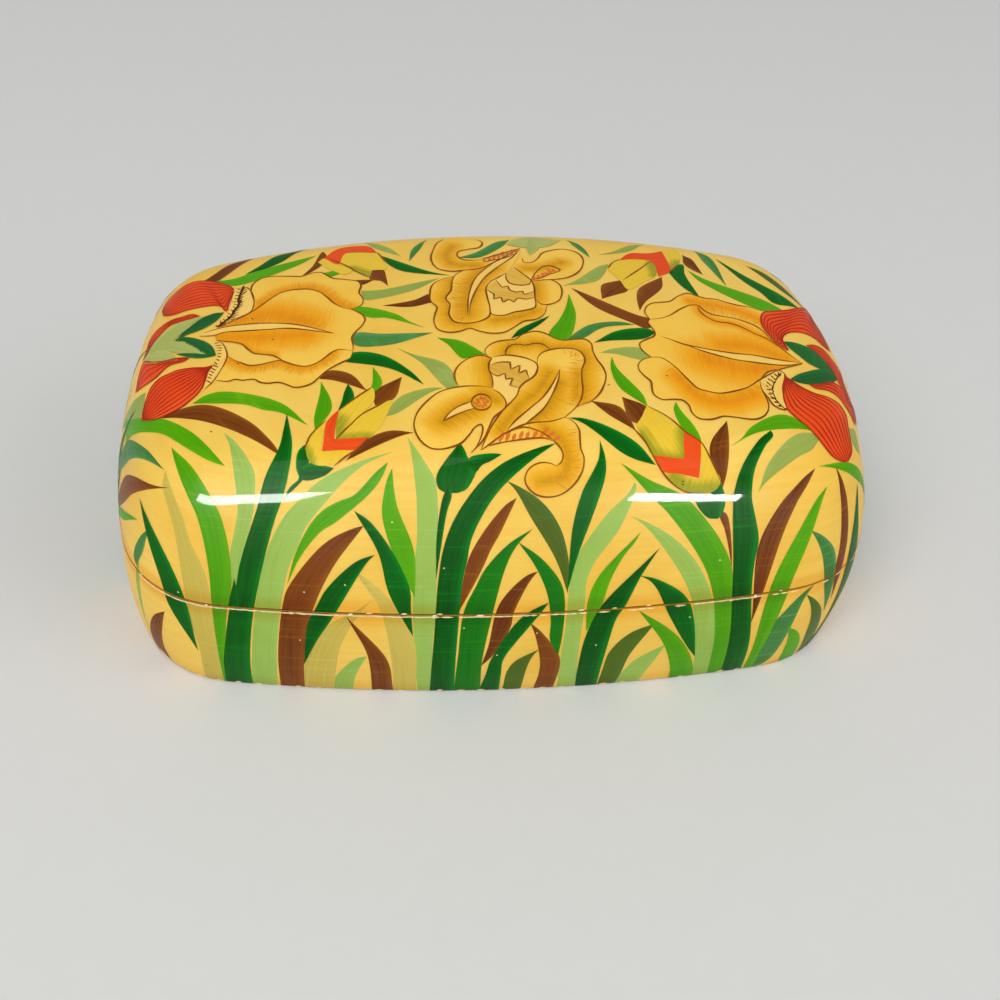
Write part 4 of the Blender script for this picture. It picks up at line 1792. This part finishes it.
# ---------------------------------------------------------------------------------------------
# Hair strokes: beards, braids, the shading hairs of the petals. One Geometry Nodes tree lays short
# pointed strokes along a line and presses them onto the ground coat.
# ---------------------------------------------------------------------------------------------
def stroke_tree():
    """Line of edges in, pointed strokes along it out, each leaning from the line and laid on a skin."""
    tree = bpy.data.node_groups.new("strokes_along_line", "GeometryNodeTree")
    kinds = (("Line", "Geometry"), ("Skin", "Object"), ("Spacing", "Float"), ("Length", "Float"),
     ("Width", "Float"), ("Lean", "Float"), ("Spread", "Float"), ("Kept", "Float"), ("Lift", "Float"),
     ("Seed", "Int"), ("Material", "Material"))
    for name, kind in kinds:
        tree.interface.new_socket(name, in_out="INPUT", socket_type="NodeSocket" + kind)
    tree.interface.new_socket("Strokes", in_out="OUTPUT", socket_type="NodeSocketGeometry")
    group_in = tree.nodes.new("NodeGroupInput")
    given = {name: Flow(tree, group_in.outputs[name]) for name, _ in kinds}

    def node(kind, settings, values, output=0):
        return Flow(tree, add_node(tree, kind, settings, values, output))

    curve = node("GeometryNodeMeshToCurve", {}, {"Mesh": given["Line"]})
    spaced = node(
        "GeometryNodeResampleCurve", {"mode": "LENGTH"}, {"Curve": curve, "Length": given["Spacing"]}
    )
    skin = node("GeometryNodeObjectInfo", {}, {"Object": given["Skin"]}, "Geometry")
    skin_normal = node("GeometryNodeInputNormal", {}, {})
    normal = node(
        "GeometryNodeSampleNearestSurface", {"data_type": "FLOAT_VECTOR"},
        {"Mesh": skin, "Value": skin_normal},
    )
    tangent = node("GeometryNodeInputTangent", {}, {})
    upright = node("FunctionNodeAlignRotationToVector", {"axis": "Z"}, {"Vector": normal})
    ahead = node(
        "FunctionNodeAlignRotationToVector", {"axis": "X", "pivot_axis": "Z"},
        {"Rotation": upright, "Vector": tangent},
    )
    wander = node(
        "FunctionNodeRandomValue", {"data_type": "FLOAT"}, {2: -1.0, 3: 1.0, "Seed": given["Seed"]}, 1
    )
    lean = given["Lean"] + wander * given["Spread"]
    turn = node("ShaderNodeCombineXYZ", {}, {"Z": lean})
    turn = node("FunctionNodeEulerToRotation", {}, {"Euler": turn})
    turned = node(
        "FunctionNodeRotateRotation", {"rotation_space": "LOCAL"}, {"Rotation": ahead, "Rotate By": turn}
    )
    kept = node(
        "FunctionNodeRandomValue", {"data_type": "BOOLEAN"},
        {"Probability": given["Kept"], "Seed": given["Seed"] + 5}, 3,
    )
    grow = node(
        "FunctionNodeRandomValue", {"data_type": "FLOAT"}, {2: 0.6, 3: 1.15, "Seed": given["Seed"] + 11}, 1
    )
    size = node("ShaderNodeCombineXYZ", {}, {"X": given["Length"] * grow, "Y": given["Width"], "Z": 1.0})

    sheet = node("GeometryNodeMeshGrid", {}, {"Size X": 1.0, "Size Y": 1.0, "Vertices X": 9, "Vertices Y": 3})
    place = node("GeometryNodeInputPosition", {}, {})
    across = node("ShaderNodeSeparateXYZ", {}, {"Vector": place}, 0)
    aside = node("ShaderNodeSeparateXYZ", {}, {"Vector": place}, 1)
    taper = 1 - across * across * 3.7
    pointed = node("ShaderNodeCombineXYZ", {}, {"X": across + 0.5, "Y": aside * taper})
    stroke = node("GeometryNodeSetPosition", {}, {"Geometry": sheet, "Position": pointed})

    laid = node(
        "GeometryNodeInstanceOnPoints", {},
        {"Points": spaced, "Selection": kept, "Instance": stroke, "Rotation": turned, "Scale": size},
    )
    solid = node("GeometryNodeRealizeInstances", {}, {"Geometry": laid})
    skin_place = node("GeometryNodeInputPosition", {}, {})
    nearest = node(
        "GeometryNodeSampleNearestSurface", {"data_type": "FLOAT_VECTOR"}, {"Mesh": skin, "Value": skin_place}
    )
    raised = node("ShaderNodeVectorMath", {"operation": "SCALE"}, {"Vector": normal, "Scale": given["Lift"]})
    pressed = node("ShaderNodeVectorMath", {"operation": "ADD"}, (nearest, raised))
    flat = node("GeometryNodeSetPosition", {}, {"Geometry": solid, "Position": pressed})
    painted = node("GeometryNodeSetMaterial", {}, {"Geometry": flat, "Material": given["Material"]})
    group_out = tree.nodes.new("NodeGroupOutput")
    tree.links.new(painted.socket, group_out.inputs[0])
    return tree


strokes_along_line = stroke_tree()
stroke_inputs = {
    item.name: item.identifier for item in strokes_along_line.interface.items_tree if item.in_out == "INPUT"
}


def lay_strokes(name, body, skin, lines, material, **sizes):
    """Runs the stroke tree along lines given in mm and keeps the result as a plain mesh."""
    verts, edges = [], []
    for line in lines:
        start = len(verts)
        verts.extend((np.array(line) * MM).tolist())
        edges.extend((k, k + 1) for k in range(start, len(verts) - 1))
    mesh = bpy.data.meshes.new(name)
    mesh.from_pydata(verts, edges, [])
    strokes = bpy.data.objects.new(name, mesh)
    bpy.context.collection.objects.link(strokes)
    modifier = strokes.modifiers.new("strokes", "NODES")
    modifier.node_group = strokes_along_line
    modifier[stroke_inputs["Skin"]] = skin
    modifier[stroke_inputs["Material"]] = material
    modifier[stroke_inputs["Seed"]] = sizes["seed"]
    modifier[stroke_inputs["Lean"]] = math.radians(sizes["lean"])
    modifier[stroke_inputs["Spread"]] = math.radians(sizes["spread"])
    modifier[stroke_inputs["Kept"]] = sizes.get("kept", 1.0)
    for key in ("Spacing", "Length", "Width", "Lift"):
        modifier[stroke_inputs[key]] = sizes[key.lower()] * MM
    strokes.update_tag()
    evaluated = strokes.evaluated_get(bpy.context.evaluated_depsgraph_get())
    made = bpy.data.meshes.new_from_object(evaluated)
    strokes.modifiers.remove(modifier)
    strokes.data = made
    made.name = name
    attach(strokes, body)
    return strokes


def on_skin(line):
    """Places on the form, in mm, of a line on the chart."""
    return [blend_at(chart_tree, chart_corners, (x, y, 0), skin_points)[0] for x, y in line]


def drawn(points):
    """A smooth line on the form through pixels of the photo's frame."""
    return on_skin(smooth_line([seen(*spot) for spot in points], 0.5))


HAIR_LIFT = 0.14
UPPER_SPINE = [(217, 327), (224, 322), (230, 317), (234, 311), (238, 305), (239, 298), (242, 290)]
LOWER_ROOTS = [(214, 343), (217, 350), (217, 357), (212, 365), (209, 373), (206, 380)]
RIGHT_SPINE = [(787, 410), (780, 404), (775, 397), (773, 390), (775, 382), (780, 375)]
RIGHT_ROOTS = [(785, 374), (774, 373), (767, 379), (766, 388), (769, 396), (775, 403), (784, 409)]
dark_ink = brushed("paint_dark_brown_ink", srgb(92, 44, 14), srgb(72, 32, 10), srgb(120, 64, 22), 0.6, 0.1)
orange_ink = brushed("paint_orange_ink", srgb(226, 116, 44), srgb(206, 88, 28), srgb(238, 150, 84), 0.6, 0.1)
shade_ink = brushed("paint_shade_hairs", srgb(216, 142, 26), srgb(200, 120, 16), srgb(230, 160, 40), 0.6, 0.1)
lay_strokes("lid_upper_beard_right", "lid", lid_ground, [drawn(UPPER_SPINE)], dark_ink,
            spacing=0.62, length=1.5, width=0.22, lean=-42, spread=8, lift=HAIR_LIFT, seed=3)
lay_strokes("lid_upper_beard_left", "lid", lid_ground, [drawn(UPPER_SPINE)], dark_ink,
            spacing=0.95, length=1.25, width=0.2, lean=62, spread=8, lift=HAIR_LIFT, seed=4)
lay_strokes("lid_upper_beard_spine", "lid", lid_ground, [drawn(UPPER_SPINE)], dark_ink,
            spacing=0.5, length=1.5, width=0.5, lean=0, spread=10, lift=HAIR_LIFT + 0.005, seed=5)
lay_strokes("lid_lower_beard", "lid", lid_ground, [drawn(LOWER_ROOTS)], dark_ink,
            spacing=0.72, length=1.25, width=0.22, lean=62, spread=8, lift=HAIR_LIFT, seed=6)
lay_strokes("lid_right_beard_spine", "lid", lid_ground, [drawn(RIGHT_SPINE)], dark_ink,
            spacing=0.5, length=1.0, width=0.22, lean=0, spread=8, lift=HAIR_LIFT + 0.005, seed=7)
lay_strokes("lid_right_beard_hairs", "lid", lid_ground, [drawn(RIGHT_SPINE)], dark_ink,
            spacing=0.9, length=1.1, width=0.24, lean=52, spread=12, lift=HAIR_LIFT, seed=8)
lay_strokes("lid_right_beard_rim", "lid", lid_ground, [drawn(RIGHT_ROOTS)], dark_ink,
            spacing=0.9, length=0.9, width=0.26, lean=75, spread=20, lift=HAIR_LIFT, seed=9)
BRAIDS = [front["braid_low"][1:], [(484, 262), (492, 260), (504, 257), (516, 253)],
          [(533, 280), (545, 277), (555, 272)]]
lay_strokes("lid_braids", "lid", lid_ground, [drawn(line) for line in BRAIDS], orange_ink,
            spacing=0.95, length=2.1, width=0.6, lean=56, spread=6, lift=HAIR_LIFT, seed=10)
lay_strokes(
    "lid_feather_other_side", "lid", lid_ground, [drawn([(533, 278), (545, 272), (555, 268)])], orange_ink,
    spacing=0.85, length=1.3, width=0.3, lean=-50, spread=6, lift=HAIR_LIFT, seed=11,
)
ROSETTE = [(481.5 + 8 * math.cos(a), 402 + 6.5 * math.sin(a)) for a in np.linspace(0, -2 * math.pi, 17)]
lay_strokes("lid_rosette", "lid", lid_ground, [drawn(ROSETTE), drawn([(478, 404), (484, 402)])], orange_ink,
            spacing=1.0, length=1.3, width=0.4, lean=70, spread=12, lift=HAIR_LIFT, seed=12)

FOLD_HAIRS = {
    "outer": (82, 15, [
        left["low_fold"][3:],
        left["vein_top"][2:9],
        right["top_fold"][4:14],
        front["vein_right"][1:],
        back["tall"][2:9],
        back["vein_left"][:5],
    ]),
    "inner": (-82, 14, [
        left["top_fold"][:-3],
        right["low_fold"][3:12],
        right["vein_low"][1:6],
        front["lobe_vein_low"],
        front["arch"][4:-1],
        front["tail_outer"][2:9],
    ]),
}
for side, (lean, seed, lines) in FOLD_HAIRS.items():
    lay_strokes(
        f"lid_{side}_fold_hairs", "lid", lid_ground,
        [drawn(line) for line in lines], shade_ink, spacing=0.34, length=2.3, width=0.075, lean=lean,
        spread=14, kept=0.8, lift=HAIR_LIFT - 0.02, seed=seed,
    )


# ---------------------------------------------------------------------------------------------
# Chips along the saw cut and the foot, where the paint has flaked to the pale chalk under it.
# ---------------------------------------------------------------------------------------------
def level_line(height, first_run, last_run):
    """Line round the wall at a height, between two distances from the front's middle."""
    runs = np.arange(first_run, last_run, 0.8)
    edge, out_of_it = plan_outline(runs % ROUND_RUN)
    return np.c_[edge - out_of_it * wall_inset(height), np.full(len(runs), height)]


CHIP_DROP = 0.2
chip_paint = Paint("chip_chalk")
chalk = chip_paint.noise(chip_paint.place, 1.2 * PERIOD, 3.0, 0.6)
chalk_colour = chip_paint.mix(chip_paint.ramp(chalk, 0.35, 0.7), srgb(255, 240, 190), srgb(246, 220, 156))
chip = chip_paint.finish(chalk_colour, 0.5 + 0.2 * chalk, chalk, 0.05 * MM, 0.1)
DENSE_CHIPS = ((-62, 2), (27, 40), (62, 96), (150, 236), (284, 300))
SPARSE_CHIPS = ((2, 27), (40, 62), (96, 150), (236, 284))
for name, spans, spacing, length, width, kept, seed in (
    ("dense", DENSE_CHIPS, 0.9, 2.6, 0.3, 0.9, 21), ("dense_wide", DENSE_CHIPS, 4.2, 1.3, 0.5, 0.4, 22),
    ("sparse", SPARSE_CHIPS, 1.5, 1.8, 0.28, 0.6, 23),
):
    lines = [level_line(BASE_COAT_TOP - CHIP_DROP, *span) for span in spans]
    lay_strokes(
        "base_rim_chips_" + name, "base", base_ground, lines, chip, spacing=spacing, length=length,
        width=width, lean=0, spread=2.5, kept=kept, lift=HAIR_LIFT, seed=seed,
    )
lay_strokes("lid_rim_chips", "lid", lid_ground, [level_line(LID_COAT_FOOT + 0.1, 0, ROUND_RUN)], chip,
            spacing=5.5, length=1.1, width=0.3, lean=0, spread=6, kept=0.45, lift=HAIR_LIFT, seed=24)
lay_strokes("base_foot_chips", "base", base_ground, [level_line(BASE_COAT_FOOT + 0.2, 0, ROUND_RUN)], chip,
            spacing=3.4, length=1.5, width=0.5, lean=0, spread=9, kept=0.4, lift=HAIR_LIFT, seed=25)
NICKS = ((345, 585), (304, 592), (305, 552), (444, 568), (464, 628), (537, 633), (596, 645), (178, 592),
 (690, 617), (212, 500), (205, 466), (651, 566), (720, 560), (392, 522), (300, 640), (497, 655))
nick_marks = [ink([(x - 0.9, y), (x + 0.9, y + 0.5)], 0.16) for x, y in NICKS]
lay_film("nicks", nick_marks, 12, chip)
SPECKS = ((211, 431), (206, 665), (683, 481), (683, 484), (273, 339), (252, 318), (667, 375), (609, 384),
 (238, 363))
speck_marks = [ink([(x - 0.9, y), (x + 0.9, y + 0.8)], 0.14) for x, y in SPECKS]
lay_film("specks", speck_marks, 12, dark_ink)


# ---------------------------------------------------------------------------------------------
# Floor, soft light and the lamp that glints on the front shoulder.
# ---------------------------------------------------------------------------------------------
FLOOR_SIDE = 6.0

floor_mesh = bpy.data.meshes.new("floor")
half = FLOOR_SIDE / 2
floor_mesh.from_pydata(
    [(-half, -half, 0), (half, -half, 0), (half, half, 0), (-half, half, 0)], [], [(0, 1, 2, 3)]
)
floor = bpy.data.objects.new("floor", floor_mesh)
bpy.context.collection.objects.link(floor)
floor_paint = Paint("floor_pale")
grain = floor_paint.noise(floor_paint.place, 0.2 * PERIOD, 2.0)
floor_colour = floor_paint.mix(grain * 0.3, srgb(222, 222, 220), srgb(214, 214, 212))
floor_mesh.materials.append(
    floor_paint.finish(floor_colour, 0.8 + 0.1 * grain, grain, 0.01 * MM, 0.0)
)

world = bpy.data.worlds.new("studio")
world.use_nodes = True
world.node_tree.nodes["Background"].inputs[0].default_value = (1, 1, 1, 1)
world.node_tree.nodes["Background"].inputs[1].default_value = 0.40
bpy.context.scene.world = world


def soft_lamp(name, spot, aim, width, depth, watts):
    """A rectangular lamp that faces a point."""
    data = bpy.data.lights.new(name, "AREA")
    data.shape = "RECTANGLE"
    data.size, data.size_y = width, depth
    data.energy = watts
    lamp = bpy.data.objects.new(name, data)
    lamp.matrix_world = (
        Matrix.Translation(spot) @ (Vector(spot) - Vector(aim)).to_track_quat("Z", "Y").to_matrix().to_4x4()
    )
    bpy.context.collection.objects.link(lamp)
    return lamp


soft_lamp("key", (-0.45, -0.75, 1.1), (0, 0, 0.02), 0.9, 0.9, 11.0)
soft_lamp("fill", (0.9, -0.5, 0.7), (0, 0, 0.02), 0.8, 0.8, 3.0)


def mirrored(x, y, reach):
    """Place that the lacquer mirrors to the camera at a pixel, and the place of the lacquer itself."""
    spot = skin_tree.ray_cast(camera_mm, photo_ray(x, y))[0]
    normal = Vector(blend_at(skin_tree, skin_corners, spot, skin_normals)[0]).normalized()
    to_camera = (camera_mm - spot).normalized()
    away = 2 * normal.dot(to_camera) * normal - to_camera
    return spot * MM + away * reach, spot * MM


GLINT_LAMP_REACH = 0.6
for name, x_left, x_right, y, tall, watts in (
    ("glint_left", 198, 312, 497, 8, 16.0),
    ("glint_right", 632, 739, 497, 7, 5.0),
):
    ends = [mirrored(x, y, GLINT_LAMP_REACH)[0] for x in (x_left, x_right)]
    edges = [
        mirrored((x_left + x_right) / 2, y + step, GLINT_LAMP_REACH)[0]
        for step in (-tall / 2, tall / 2)
    ]
    centre = (ends[0] + ends[1]) / 2
    aim = mirrored((x_left + x_right) / 2, y, GLINT_LAMP_REACH)[1]
    facing = (centre - aim).normalized()
    along = ends[1] - ends[0]
    along = (along - along.dot(facing) * facing).normalized()
    lamp = soft_lamp(name, centre, aim, (ends[1] - ends[0]).length, (edges[1] - edges[0]).length, watts)
    lamp.matrix_world = Matrix.Translation(centre) @ Matrix(
        (along, facing.cross(along), facing)).transposed().to_4x4()
    lamp.visible_diffuse = False

bpy.context.scene.view_settings.view_transform = "Standard"
